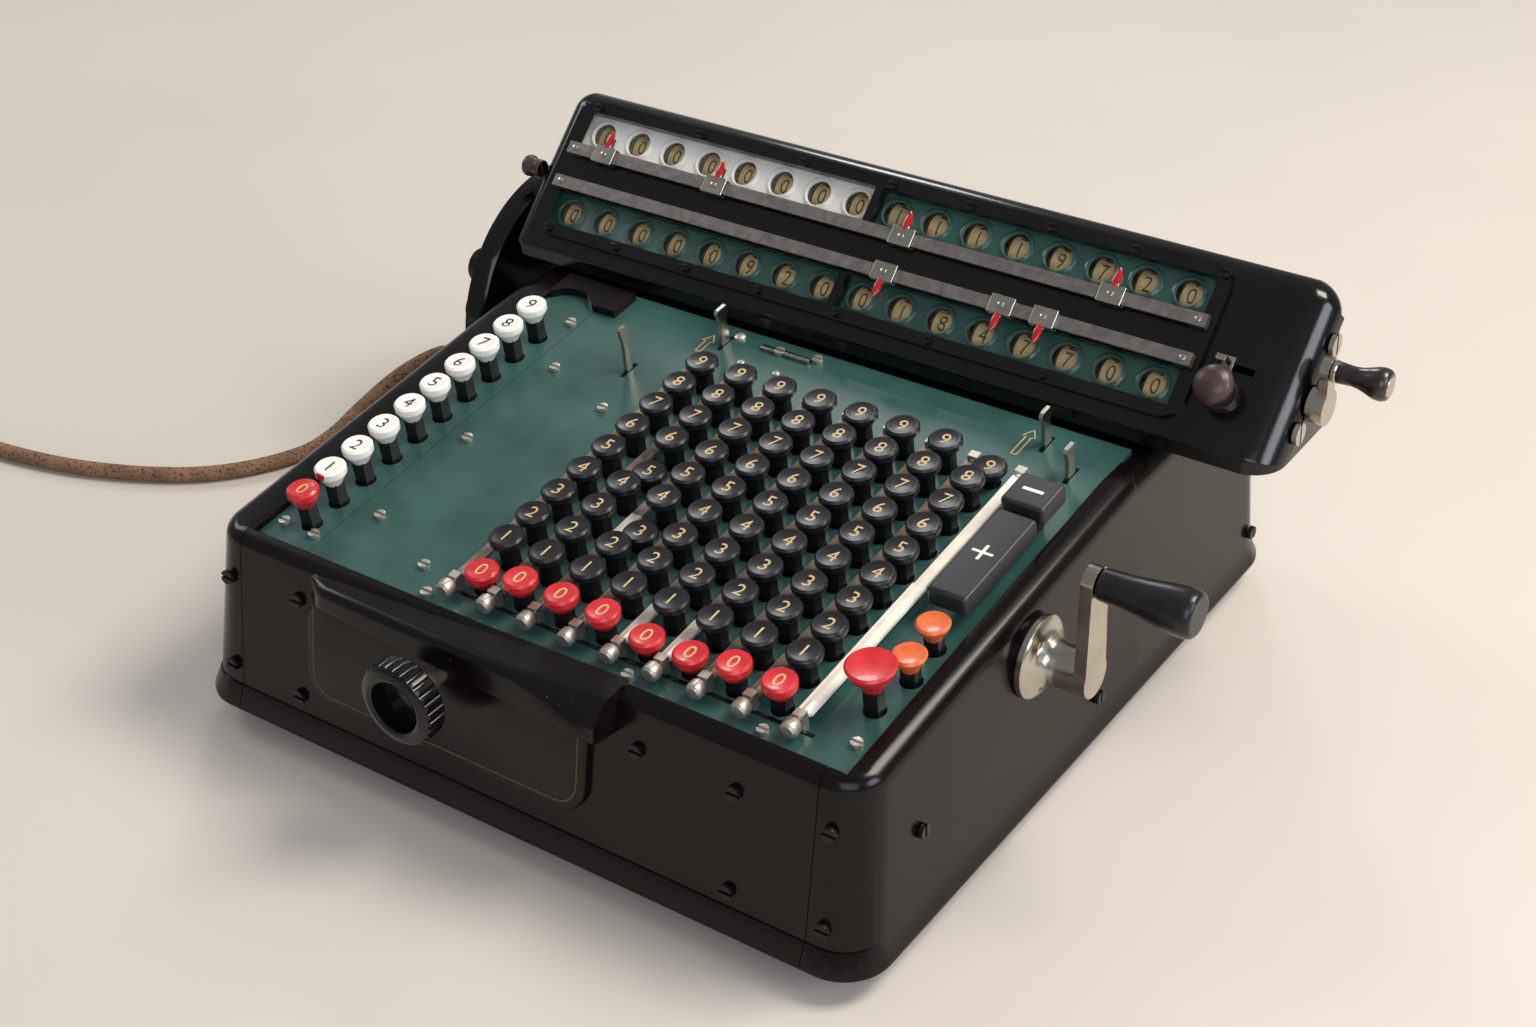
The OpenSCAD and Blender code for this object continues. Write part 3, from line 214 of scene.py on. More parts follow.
looks = {
    # Stoved black enamel on steel: a deep gloss, soft reflections, a few pinholes
    "enamel": finish("blackEnamel", "#0b0a0b", 0.17, mottle=0.3, mottleMm=30, grainMm=1.6, bump=0.04,
                     specks="#3a3531", speckMm=1.1, speckAt=0.77, roughSpan=0.06, **{"Specular IOR Level": 0.4}),
    # The case gets a browner colour, a painted reflection of an amber table, and less specular, so its flat sides
    # mirror less
    "case": finish("blackEnamelPaintedBrownReflection", "#0d0807", 0.2, mottle=0.3, mottleMm=30, grainMm=1.6, bump=0.04,
                   specks="#3a3531", speckMm=1.1, speckAt=0.77, roughSpan=0.06, **{"Specular IOR Level": 0.24}),
    # The same enamel worn by hands: duller, with greyed chips
    "hood": finish("wornEnamel", "#0e0a09", 0.22, mottle=0.3, mottleMm=18, grainMm=1.2, bump=0.08,
                   specks="#6b6258", speckMm=1.0, speckAt=0.74, **{"Specular IOR Level": 0.27}),
    # Green enamel on sheet steel: an uneven gloss with darker scuffs
    "green": finish("greenEnamel", "#2c504c", 0.31, coat=0.1, mottle=0.22, mottleMm=26, grainMm=0.9, bump=0.12,
                    specks="#16302d", speckMm=1.2, speckAt=0.72, roughSpan=0.14),
    # Glossy enamel of the dial strips, white over the left half of the upper row
    "masks": finish("maskEnamel", "#28524a", 0.24, coat=0.3, mottle=0.15, mottleMm=12, paint=whitePlate),
    # Nickel plate on brass: warm and bright, a little cloudy with age
    "nickel": finish("agedNickel", "#bdb6aa", 0.24, metal=1.0, mottle=0.1, mottleMm=9, grainMm=0.3, bump=0.03,
                     specks="#8d857a", speckMm=1.6, speckAt=0.74),
    # Nickel rubbed dull by fingers
    "satin": finish("rubbedNickel", "#cbc5ba", 0.42, metal=0.9, mottle=0.14, mottleMm=3, grainMm=0.4, bump=0.05),
    # Nickel on the marker rails: greyed, with small spots
    "rail": finish("railNickel", "#968e89", 0.34, metal=0.9, mottle=0.16, mottleMm=3, grainMm=0.4, bump=0.06,
                   specks="#6d6561", speckMm=1.2, speckAt=0.7),
    # Oiled steel: grey and half dull
    "steel": finish("oiledSteel", "#6c6a67", 0.4, metal=1.0, mottle=0.2, mottleMm=9, grainMm=0.4, bump=0.1),
    # Rods painted brownish grey as the shade the keys cast on them, with little shine
    "rod": finish("greyRodPaintedShade", "#857a6c", 0.42, metal=0.2, mottle=0.25, mottleMm=4, grainMm=0.6, bump=0.12),
    # White lacquer, slightly yellowed
    "whiteRod": finish("whiteRod", "#f5f1e4", 0.45, mottle=0.08, mottleMm=5, grainMm=0.6, bump=0.06),
    # Moulded black plastic of the keys: a soft gloss with fine scratches
    "blackKey": finish("blackKeyPlastic", "#17171a", 0.31, mottle=0.2, mottleMm=4, grainMm=0.9, bump=0.02,
                       specks="#3d3a36", speckMm=0.8, speckAt=0.78, roughSpan=0.06,
                       **{"Specular IOR Level": 0.42}),
    # Black plastic of the two bars, dulled by fingers, its colour lightened to a grey as a painted sheen
    "bar": finish("barPlasticPaintedSheen", "#222226", 0.42, mottle=0.15, mottleMm=6, grainMm=0.7, bump=0.04,
                  specks="#3d3a36", speckMm=0.8, speckAt=0.76),
    # Moulded red plastic with a soft gloss
    "redKey": finish("redKeyPlastic", "#c4252c", 0.3, coat=0.2, mottle=0.14, mottleMm=5, grainMm=0.7, bump=0.03),
    # Moulded ivory plastic, the nought in red
    "multiplier": finish("ivoryKeyPlastic", "#c4252c", 0.3, coat=0.3, mottle=0.1, mottleMm=5, grainMm=0.7,
                         bump=0.05, paint=redZero),
    # Moulded orange plastic, rubbed and patchy
    "orange": finish("orangeKeyPlastic", "#d5642f", 0.34, coat=0.25, mottle=0.16, mottleMm=3, grainMm=0.6,
                     bump=0.08),
    # Blacked steel screws
    "darkScrew": finish("blackedScrew", "#2b2826", 0.3, metal=0.7, mottle=0.25, mottleMm=2, grainMm=0.4, bump=0.1),
    # Polished dark plastic of the clearing grip
    "darkBrown": finish("darkBrownPlastic", "#231918", 0.3, coat=0.3, mottle=0.2, mottleMm=5, grainMm=0.8,
                        bump=0.06),
    # Brown plastic, dulled by use
    "brown": finish("brownPlastic", "#3d2a29", 0.4, coat=0.1, mottle=0.2, mottleMm=5, grainMm=0.8, bump=0.04),
    # Moulded rubber: dull black
    "rubber": finish("blackRubber", "#1c1b1a", 0.75, mottle=0.2, mottleMm=6, grainMm=0.7, bump=0.3),
    # Celluloid dials, yellowed, their sides painted dark as the shade in the windows round them
    "dial": finish("creamDial", "#ddc48c", 0.5, mottle=0.14, mottleMm=3, grainMm=0.6, bump=0.05, paint=dialBand),
    # Moulded rubber of the plug, smoother than the feet
    "plug": finish("plugRubber", "#191817", 0.5, mottle=0.2, mottleMm=6, grainMm=0.6, bump=0.15),
    # Printing inks, matt
    "ink": finish("blackInk", "#1d1a18", 0.6, mottle=0.2, mottleMm=2),
    "cream": finish("creamInk", "#c7ab7d", 0.5, mottle=0.12, mottleMm=2),
    "whiteInk": finish("whiteInk", "#e4dfd6", 0.5, mottle=0.08, mottleMm=2),
    # Bronze powder in varnish: a dim gold line
    "gold": finish("goldLine", "#5f4a2e", 0.45, metal=0.4, mottle=0.25, mottleMm=3),
    # Glossy red lacquer
    "pointer": finish("redLacquer", "#a90f1a", 0.2, coat=0.5, mottle=0.1, mottleMm=3),
    # Thin window glass: clear, with a faint gloss
    "glass": finish("windowGlass", "#eef5f2", 0.05, mottle=0.02, mottleMm=40, roughSpan=0.02, bump=0.01, IOR=1.45,
                    Alpha=0.1, **{"Transmission Weight": 1.0}),
    # Braided cotton over the cord: dull, brown with darker threads
    "braid": finish("braidedCord", "#86644a", 0.82, mottle=0.3, mottleMm=9, grainMm=0.5, bump=0.6, depthMm=0.3,
                    specks="#463a31", speckMm=1.1, speckAt=0.55),
}
print("stage: materials")


# Finishes and edge rounding on the solids that carry over
def breakEdges(obj, widthMm, angle):
    bevel = obj.modifiers.new("edge", "BEVEL")
    bevel.width = widthMm * mm
    bevel.segments = 2
    bevel.limit_method = "ANGLE"
    bevel.angle_limit = math.radians(angle)
    bevel.harden_normals = False


edgeSet = {"bevelFrom": 38, "splitFrom": 35}


def dress(node, look, edgeMm):
    obj = cadNodes[node]
    obj.data.materials.clear()
    obj.data.materials.append(looks[look])
    obj.modifiers.new("weld", "WELD").merge_threshold = mergeGap
    if edgeMm:
        breakEdges(obj, edgeMm, edgeSet["bevelFrom"])
    else:
        obj.modifiers.new("split", "EDGE_SPLIT").split_angle = math.radians(edgeSet["splitFrom"])
    obj.modifiers.new("normals", "WEIGHTED_NORMAL").keep_sharp = False


nodeLooks = {
    "base_plate": ("enamel", 0.6), "front_panel": ("case", 0), "left_cover": ("case", 0),
    "right_cover": ("case", 0), "rear_cover": ("case", 0), "motor_housing": ("enamel", 0.8),
    "keyboard_plate": ("green", 0), "multiplier_plate": ("green", 0), "rubber_feet": ("rubber", 0.8),
    "case_screws": ("darkScrew", 0.2), "inner_frame": ("steel", 0.3), "plug": ("plug", 0.5),
    "latched_keys": ("blackKey", 0.25), "zero_keys": ("redKey", 0.25), "multiplier_keys": ("multiplier", 0.25),
    "plus_bar": ("bar", 0), "minus_bar": ("bar", 0), "clear_key": ("redKey", 0.3),
    "repeat_keys": ("orange", 0.25), "main_crank": ("nickel", 0.5), "crank_grip": ("blackKey", 0.4),
    "main_shaft": ("steel", 0.2), "stepped_drums": ("steel", 0.2), "shift_knob": ("enamel", 0.2),
    "carriage_base": ("steel", 0.2), "dial_masks": ("masks", 0.25), "window_glass": ("glass", 0.1),
    "lower_dials": ("dial", 0.3), "upper_dials": ("dial", 0.3), "carriage_trim": ("rail", 0.25),
    "decimal_markers": ("nickel", 0.3), "clear_crank": ("nickel", 0.4), "clear_grip": ("darkBrown", 0.4),
    "carriage_knob": ("brown", 0.4), "counter_lever": ("nickel", 0.3),
}
nodeLooks.update({f"number_keys_{i}": ("blackKey", 0.25) for i in range(1, 9)})
nodeLooks.update({f"plate_lever_{i}": ("nickel", 0.25) for i in range(1, 5)})
for nodeName, (lookName, edge) in nodeLooks.items():
    dress(nodeName, lookName, edge)


def paintFaces(node, look, chosen):
    # A second finish on the faces whose middle is chosen
    obj = cadNodes.get(node, node)
    obj.data.materials.append(looks[look])
    second = len(obj.data.materials) - 1
    for face in obj.data.polygons:
        if chosen(face.center):
            face.material_index = second


# Where one finish ends and the next begins on a node
seamSet = {"multiplierStem": 7.0, "knobShaft": -6.8, "stopPin": -143.0, "clearEnd": 130.0,
           "faceScrews": (-5.0, 36.0), "posts": 0.2, "plateScrews": 0.02, "plugBlades": -279.6}
paintFaces("multiplier_keys", "blackKey", lambda c: (toPlate @ c).z < seamSet["multiplierStem"])
paintFaces("shift_knob", "satin", lambda c: c.y > row(0, seamSet["knobShaft"], 0).y)
paintFaces("carriage_trim", "brown", lambda c: c.x < row(seamSet["stopPin"], 0, 0).x)
paintFaces("carriage_trim", "nickel", lambda c: c.x > row(seamSet["clearEnd"], 0, 0).x)
screwsBelow, screwsAbove = seamSet["faceScrews"]
paintFaces("carriage_trim", "darkScrew", lambda c: not screwsBelow <= (toFace @ c).y <= screwsAbove)
paintFaces("keyboard_plate", "satin", lambda c: (toPlate @ c).z > seamSet["posts"])
paintFaces("case_screws", "satin", lambda c: (toPlate @ c).z > seamSet["plateScrews"])
paintFaces("plug", "nickel", lambda c: c.x > row(seamSet["plugBlades"], 0, 0).x)
print("stage: node finishes")


# New pieces
def addPiece(name, bm, look, body, slot, smooth=40):
    mesh = bpy.data.meshes.new(name)
    bm.normal_update()
    for face in bm.faces:
        face.smooth = True
    for edge in bm.edges:
        edge.smooth = len(edge.link_faces) != 2 or edge.calc_face_angle(0) < math.radians(smooth)
    bm.to_mesh(mesh)
    bm.free()
    mesh.materials.append(looks[look])
    obj = bpy.data.objects.new(name, mesh)
    bpy.context.scene.collection.objects.link(obj)
    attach(obj, body)
    return obj


def solidCopy(node):
    bm = bmesh.new()
    bm.from_mesh(cadNodes[node].data)
    bmesh.ops.remove_doubles(bm, verts=bm.verts, dist=mergeGap)
    bmesh.ops.dissolve_limit(bm, angle_limit=math.radians(1), verts=bm.verts, edges=bm.edges)
    return bm


def turned(bm, matrix, profile, steps):
    # A profile of (radius, height) pairs spun about the z axis of a matrix
    spun = bmesh.new()
    verts = [spun.verts.new((radius, 0, h)) for radius, h in profile]
    edges = [spun.edges.new(pair) for pair in zip(verts, verts[1:])]
    bmesh.ops.spin(spun, geom=verts + edges, cent=(0, 0, 0), axis=(0, 0, 1), angle=math.tau, steps=steps,
                   use_merge=True)
    bmesh.ops.remove_doubles(spun, verts=spun.verts, dist=0.0001)
    bmesh.ops.recalc_face_normals(spun, faces=spun.faces)
    bmesh.ops.transform(spun, matrix=matrix, verts=spun.verts)
    mesh = bpy.data.meshes.new("turned")
    spun.to_mesh(mesh)
    spun.free()
    bm.from_mesh(mesh)
    bpy.data.meshes.remove(mesh)


# Carriage cover: a copy of the solid, cut across near each end and drawn in along an arc
coverSet = {"ends": ((-143.0, 1, 8.0), (165.0, -1, 12.0)), "walls": (0.0, 2.2), "crease": (-15.0, 3.0),
            "top": (40.0, 9.0), "skin": -2.0, "least": 0.3, "steps": 10, "edgeMm": 0.5, "edgeFrom": 40,
            "floor": 91.283, "bezel": (-139.0, 8.1, 4.0), "slack": 0.03}
faceAlong, faceInward = Vector((faceCos, faceSin)), Vector((faceSin, -faceCos))


def profilePoint(s, h):
    return Vector((place["faceY"], place["faceZ"])) + s * faceAlong - h * faceInward


creaseAt = profilePoint(coverSet["crease"][0], coverSet["skin"] - coverSet["crease"][1])
topAt = profilePoint(coverSet["top"][0], coverSet["skin"] - coverSet["top"][1])
creaseR, topR = coverSet["crease"][1], coverSet["top"][1]
creaseShift = Vector((1, (faceSin - 1) / faceCos))
topShift = Vector((-1, -(1 + faceSin) / faceCos))


def drawnIn(p, base, total):
    # Moves a profile point from one depth below the outline to another, or returns None if it isn't at that depth
    fromCrease, fromTop = p - creaseAt, p - topAt
    slack, least = coverSet["slack"], coverSet["least"]
    for middle, radius, away, shift in ((creaseAt, creaseR, fromCrease, creaseShift),
                                        (topAt, topR, fromTop, topShift)):
        beside = away.dot(faceAlong) * (-1 if middle is creaseAt else 1)
        if beside > -slack and away.y > -slack:
            if abs(radius - away.length - base) > slack:
                return None
            sharp = max(0, total - radius + least)
            return middle + sharp * shift + max(least, radius - total) * away.normalized()
    if fromCrease.y <= 0 and fromTop.x <= 0 and abs(p.x - creaseAt.x + creaseR - base) < slack:
        return Vector((creaseAt.x - creaseR + total, p.y))
    if fromTop.y <= 0 and abs(topAt.x + topR - p.x - base) < slack:
        return Vector((topAt.x + topR - total, p.y))
    depth = (p - profilePoint(0, coverSet["skin"])).dot(faceInward)
    if fromCrease.y > 0 and abs(depth - base) < slack:
        moved = p + (total - base) * faceInward
        if moved.x < creaseAt.x - creaseR + total:
            return creaseAt + max(0, total - creaseR + least) * creaseShift - least * faceInward
        return moved
    return None


bm = solidCopy("carriage_cover")
bezelX, bezelArc, bezelShift = coverSet["bezel"]
for vert in bm.verts:
    # The raised panel starts a little further from the rounded left end
    x = vert.co.x / mm + place["midX"]
    if bezelX - 0.1 < x < bezelX + bezelArc and (toFace @ vert.co).z > coverSet["skin"] - 0.05:
        vert.co.x += bezelShift * mm
for endX, inward, radius in coverSet["ends"]:
    for k in range(1, coverSet["steps"]):
        at = endX + inward * radius * (1 - math.sin(math.pi / 2 * k / coverSet["steps"]))
        bmesh.ops.bisect_plane(bm, geom=bm.verts[:] + bm.edges[:] + bm.faces[:], plane_co=row(at, 0, 0),
                               plane_no=(1, 0, 0))
slack, wall = coverSet["slack"], coverSet["walls"][1]
for vert in bm.verts:
    x, y, z = (c / mm for c in vert.co)
    x, y = x + place["midX"], y + place["midY"]
    # Points of the bottom rim between the outer and the inner wall
    rim = (y - creaseAt.x + creaseR, topAt.x + topR - y) if abs(z - coverSet["floor"]) < slack else ()
    onRim = tuple(d for d in rim if slack < d < wall - slack)
    for endX, inward, radius in coverSet["ends"]:
        for base in coverSet["walls"] + onRim:
            reach = (x - endX) * inward - base
            arc = radius - base
            if -0.01 < reach < arc:
                total = base + arc - math.sqrt(max(0, arc ** 2 - (arc - reach) ** 2))
                moved = drawnIn(Vector((y, z)), base, total)
                if moved:
                    vert.co = row(x, moved.x, moved.y)
carriageShell = addPiece("carriageShell", bm, "enamel", "carriage", "enamel")
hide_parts("carriage_cover")
breakEdges(carriageShell, coverSet["edgeMm"], coverSet["edgeFrom"])

# Grips of both cranks and the head of the stop pin, turned about the axes of their solids
gripSet = {
    "steps": 40, "stopFrom": -143.05,
    "crank": ((0, 0), (4.3, 0), (5.0, 0.6), (5.2, 4), (5.4, 9), (6.1, 15), (7.0, 21), (7.5, 26), (7.45, 28.6),
              (7.1, 30.1), (6.5, 30.8), (5.9, 31), (5.7, 31), (0, 31)),
    "clear": ((0, 1.6), (3.3, 1.6), (3.5, 2.0), (3.35, 4), (3.2, 6.5), (3.5, 9), (4.3, 11.5), (5.1, 13.8),
              (5.4, 15.6), (5.2, 17.2), (4.6, 18.2), (3.9, 18.6), (0, 18.6)),
    "collar": ((0, 0), (3.4, 0), (3.7, 0.3), (3.7, 1.3), (3.4, 1.6), (0, 1.6)),
    "tip": ((0, 18.55), (3.6, 18.55), (3.4, 18.8), (2.2, 18.95), (0, 19)),
    "stop": ((0, 0), (3.1, 0), (3.3, 0.5), (3.3, 2.2), (3.15, 3.0), (3.4, 4.0), (4.0, 5.2), (4.1, 6.4),
             (3.7, 7.4), (2.6, 7.9), (0, 8)),
}


def alongX(node, sign=1, below=math.inf):
    # A matrix whose z axis runs along x through the middle of a node's points, from their near end
    points = [v.co for v in cadNodes[node].data.vertices if v.co.x < below]
    ys, zs = [p.y for p in points], [p.z for p in points]
    start = min(p.x for p in points) if sign > 0 else max(p.x for p in points)
    middle = Vector((start, (min(ys) + max(ys)) / 2, (min(zs) + max(zs)) / 2))
    turn = Matrix.Rotation(math.radians(90 * sign), 4, "Y")
    return Matrix.Translation(middle) @ turn @ Matrix.Diagonal((mm, mm, mm, 1))


crankAxis = alongX("crank_grip")
clearAxis = alongX("clear_grip")
stopAxis = alongX("carriage_trim", -1, row(gripSet["stopFrom"], 0, 0).x)
for name, matrix, profile, look, body, slot, node in (
        ("crankHandle", crankAxis, "crank", "blackKey", "crank_knob", "key_black", "crank_grip"),
        ("clearHandle", clearAxis, "clear", "darkBrown", "clearing_grip", "brown", "clear_grip"),
        ("clearCollar", clearAxis, "collar", "nickel", "clearing_grip", "nickel", None),
        ("clearTip", clearAxis, "tip", "nickel", "clearing_grip", "nickel", None),
        ("stopHead", stopAxis, "stop", "brown", "carriage", "brown", None)):
    bm = bmesh.new()
    turned(bm, matrix, gripSet[profile], gripSet["steps"])
    handle = addPiece(name, bm, look, body, slot)
    if node:
        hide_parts(node)

# Clear and repeat keys: copies of the solids whose caps taper to the stem
capSet = {"clear_key": {"name": "clearKey", "look": "redKey", "body": "clear", "slot": "key_red", "splits": (),
                        "top": 18.0, "high": 9.5, "taper": ((0, 1), (0.42, 0.64), (0.6, 0.85), (0.92, 1)),
                        "least": 3.0, "stem": 8.9},
          "repeat_keys": {"name": "repeatKeys", "look": "orange", "body": "repeat", "slot": "key_orange",
                          "splits": (49.25,), "top": 11.0, "high": 6.0,
                          "taper": ((0, 1), (0.42, 0.8), (0.6, 0.9), (0.88, 1)), "least": 2.9, "stem": 4.9}}


def taperedCopy(node, s):
    bm = solidCopy(node)
    spots = [(v, toPlate @ v.co) for v in bm.verts]
    for low, high in zip((-math.inf,) + s["splits"], s["splits"] + (math.inf,)):
        group = [(v, q) for v, q in spots if low < q.y < high]
        cx, cv = (sum(f(q[k] for _, q in group) for f in (min, max)) / 2 for k in (0, 1))
        for vert, q in group:
            share = 1 - (s["top"] - q.z) / s["high"]
            for (at, scale), (nextAt, nextScale) in zip(s["taper"], s["taper"][1:]):
                if at < share <= nextAt and math.hypot(q.x - cx, q.y - cv) > s["least"]:
                    k = scale + (nextScale - scale) * (share - at) / (nextAt - at)
                    vert.co = onPlate @ Vector((cx + (q.x - cx) * k, cv + (q.y - cv) * k, q.z))
    return bm


for node, s in capSet.items():
    tapered = addPiece(s["name"], taperedCopy(node, s), s["look"], s["body"], s["slot"])
    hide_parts(node)
    paintFaces(tapered, "blackKey", lambda c: (toPlate @ c).z < s["stem"])

# Shift cover: a plate with a rolled rim, and a hood that deepens toward its faceted right end
hoodSet = {"left": -81.0, "right": 33.0, "low": 17.0, "high": 54.0, "radius": 10.0, "back": 0.1, "front": 2.6,
           "rim": 1.3, "shaft": (-24.6, 46.7), "hole": 3.6, "from": -80.0, "to": 42.0, "depth": (5.0, 6.0),
           "startShare": 0.25, "startLength": 0.07, "topV": (60.0, 3.0), "lowV": (52.0, -2.0), "facetFrom": 0.74,
           "facetLength": 0.2, "roundWide": (3.6, 2.2), "roundTall": (3.6, 4.2), "lip": 0.7,
           "behind": ((-2.0, -3.0), (2.6, -5.0)), "cornerSteps": 8, "rimSteps": 4, "roundSteps": 6,
           "shares": (0, 0.01, 0.025, 0.045, 0.07, 0.2, 0.4, 0.6, 0.74, 0.79, 0.84, 0.89, 0.94, 1)}


def quarter(x, y, radius, start, steps):
    # Points of a quarter circle from a start angle
    angles = [math.radians(start + 90 * k / steps) for k in range(steps + 1)]
    return [(x + radius * math.cos(a), y + radius * math.sin(a)) for a in angles]


def roundedBox(left, right, low, high, radius, inset, steps):
    corners = ((right - radius, high - radius, 0), (left + radius, high - radius, 90),
               (left + radius, low + radius, 180), (right - radius, low + radius, 270))
    return [p for x, y, start in corners for p in quarter(x, y, radius - inset, start, steps)]


def ring(bm, points):
    # A closed loop of edges through some points
    verts = [bm.verts.new(p) for p in points]
    return [bm.edges.new(pair) for pair in zip(verts, verts[1:] + verts[:1])]


def skin(bm, rings):
    # Faces from each ring to the next
    for a, b in zip(rings, rings[1:]):
        bmesh.ops.bridge_loops(bm, edges=a + b)


def hoodSection(s, t):
    # Points (height on the wall, depth) round the hood at a share t of its length
    facet = min(1, max(0, (t - s["facetFrom"]) / s["facetLength"]))
    depth, top, low = (s[k][0] + s[k][1] * t for k in ("depth", "topV", "lowV"))
    depth *= min(1, s["startShare"] + t / s["startLength"])
    wide, tall = (s[k][0] + s[k][1] * facet for k in ("roundWide", "roundTall"))
    wide = min(depth - 1, wide)
    points = [(low, s["back"])] + [(top + dv, d) for dv, d in s["behind"]]
    for x, y in reversed(quarter(0, 0, 1, 0, s["roundSteps"])):
        rise, run = (max(0, c) ** (1 + facet) for c in (y, x))
        points.append((top - tall + tall * rise, depth - wide + wide * run))
    return points + [(low + s["lip"], depth), (low, depth - s["lip"])]


def coverOutline(s, inset=0):
    return roundedBox(s["left"], s["right"], s["low"], s["high"], s["radius"], inset, s["cornerSteps"])


def frontRing(bm, points, depth):
    return ring(bm, [frontPlane @ Vector((x, v, depth)) for x, v in points])


bm = bmesh.new()
shaft = Vector(hoodSet["shaft"])
hole = [shaft + hoodSet["hole"] * (Vector(p) - shaft).normalized() for p in coverOutline(hoodSet)]
holeBack, holeFront = (frontRing(bm, hole, hoodSet[side]) for side in ("back", "front"))
rings = [frontRing(bm, coverOutline(hoodSet), hoodSet["back"])]
rim = hoodSet["rim"]
for x, y in quarter(0, 0, rim, 0, hoodSet["rimSteps"]):
    rings.append(frontRing(bm, coverOutline(hoodSet, rim - x), hoodSet["front"] - rim + y))
skin(bm, rings)
skin(bm, [holeBack, holeFront])
for edges in (rings[0] + holeBack, rings[-1] + holeFront):
    bmesh.ops.triangle_fill(bm, edges=edges, use_beauty=True)
sections = []
for t in hoodSet["shares"]:
    x = hoodSet["from"] + (hoodSet["to"] - hoodSet["from"]) * t
    sections.append(ring(bm, [frontPlane @ Vector((x, v, depth)) for v, depth in hoodSection(hoodSet, t)]))
skin(bm, sections)
for end in (sections[0], sections[-1]):
    bmesh.ops.edgeloop_fill(bm, edges=end)
bmesh.ops.recalc_face_normals(bm, faces=bm.faces)
shiftHood = addPiece("shiftHood", bm, "hood", "case", "enamel", 35)
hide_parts("shift_cover")
print("stage: reshaped covers")


# Digits and signs
digitShare = 0.7  # Height of a digit as a share of the font's size


def glyph(text, height):
    curve = bpy.data.curves.new("glyph", "FONT")
    curve.body = text
    curve.size = height / digitShare
    curve.align_x = "CENTER"
    curve.resolution_u = 4
    obj = bpy.data.objects.new("glyph", curve)
    bpy.context.scene.collection.objects.link(obj)
    graph = bpy.context.evaluated_depsgraph_get()
    mesh = bpy.data.meshes.new_from_object(obj.evaluated_get(graph))
    bpy.data.objects.remove(obj)
    bpy.data.curves.remove(curve)
    xs, ys = ([v.co[k] for v in mesh.vertices] for k in (0, 1))
    mesh.transform(Matrix.Translation((-(min(xs) + max(xs)) / 2, -(min(ys) + max(ys)) / 2, 0)))
    return mesh


def stamp(bm, mesh, spot):
    # Adds a copy of a flat mesh, each point moved to its spot
    first = len(bm.verts)
    bm.from_mesh(mesh)
    bm.verts.ensure_lookup_table()
    for vert in bm.verts[first:]:
        vert.co = spot(vert.co)


keySet = {"top": 12.4, "capR": 5.7, "digit": 5.0, "dish": 0.6, "dishRise": 0.4, "lip": 1.6, "liftMm": 0.05,
          "latched": [(1, 5), (2, 3), (7, 9)], "down": 5.0}
zeroSet = {"top": 11.6, "capR": 5.5, "digit": 5.2, "drop": 3.2, "low": (0, 4, 5), "capHigh": 6.1}
capDigits = [glyph(str(i), keySet["digit"]) for i in range(10)]
zeroDigit = glyph("0", zeroSet["digit"])


def onCap(x, v, top, radius):
    # The cap is dished: the ink follows its shallow cone
    def spot(p):
        out = min(1, math.hypot(p.x, p.y) / (radius - keySet["lip"]))
        rise = keySet["dishRise"] * out - keySet["dish"]
        return onPlate @ Vector((x + p.x, v + p.y, top + rise + keySet["liftMm"]))
    return spot


def keyPlace(column, number):
    return (place["firstColumn"] + column * place["columnPitch"], place["zeroV"] + number * place["rowPitch"])


for column in range(place["columns"]):
    bm = bmesh.new()
    for number in range(1, 10):
        if (column, number) not in keySet["latched"]:
            x, v = keyPlace(column, number)
            stamp(bm, capDigits[number], onCap(x, v, keySet["top"], keySet["capR"]))
    addPiece(f"digits_{column + 1}", bm, "cream", f"column_{column + 1}", "ivory")
bm = bmesh.new()
for column, number in keySet["latched"]:
    x, v = keyPlace(column, number)
    stamp(bm, capDigits[number], onCap(x, v, keySet["top"] - keySet["down"], keySet["capR"]))
addPiece("digitsLatched", bm, "cream", "latched", "ivory")


def zeroTop(column):
    # Some of the noughts stand lower
    return zeroSet["top"] - (zeroSet["drop"] if column in zeroSet["low"] else 0)


def isZeroStem(c):
    spot = toPlate @ c
    column = round((spot.x - place["firstColumn"]) / place["columnPitch"])
    return spot.z < zeroTop(column) - zeroSet["capHigh"]


bm = bmesh.new()
for column in range(place["columns"]):
    stamp(bm, zeroDigit, onCap(*keyPlace(column, 0), zeroTop(column), zeroSet["capR"]))
addPiece("digitsZero", bm, "cream", "zeros", "ivory")
paintFaces("zero_keys", "blackKey", isZeroStem)

multiplierSet = {"x": -97.5, "v": 12.5, "top": 15.2, "capR": 5.3}
for name, numbers, look in (("digitsMultiplier", range(1, 10), "ink"), ("digitMultiplierZero", (0,), "cream")):
    bm = bmesh.new()
    for number in numbers:
        v = multiplierSet["v"] + number * place["rowPitch"]
        stamp(bm, capDigits[number], onCap(multiplierSet["x"], v, multiplierSet["top"], multiplierSet["capR"]))
    addPiece(name, bm, look, "multipliers", "ivory")


def strip(bm, matrix, points, width, height):
    # A flat ribbon along points (x, y) of a tilted plane
    pairs = []
    for i, p in enumerate(points):
        a = Vector(points[max(i - 1, 0)])
        b = Vector(points[min(i + 1, len(points) - 1)])
        side = Vector((-(b - a).y, (b - a).x)).normalized() * width / 2
        spots = (Vector(p) + side, Vector(p) - side)
        pairs.append([bm.verts.new(matrix @ Vector((q.x, q.y, height))) for q in spots])
    for (a, b), (c, d) in zip(pairs, pairs[1:]):
        bm.faces.new((b, d, c, a))


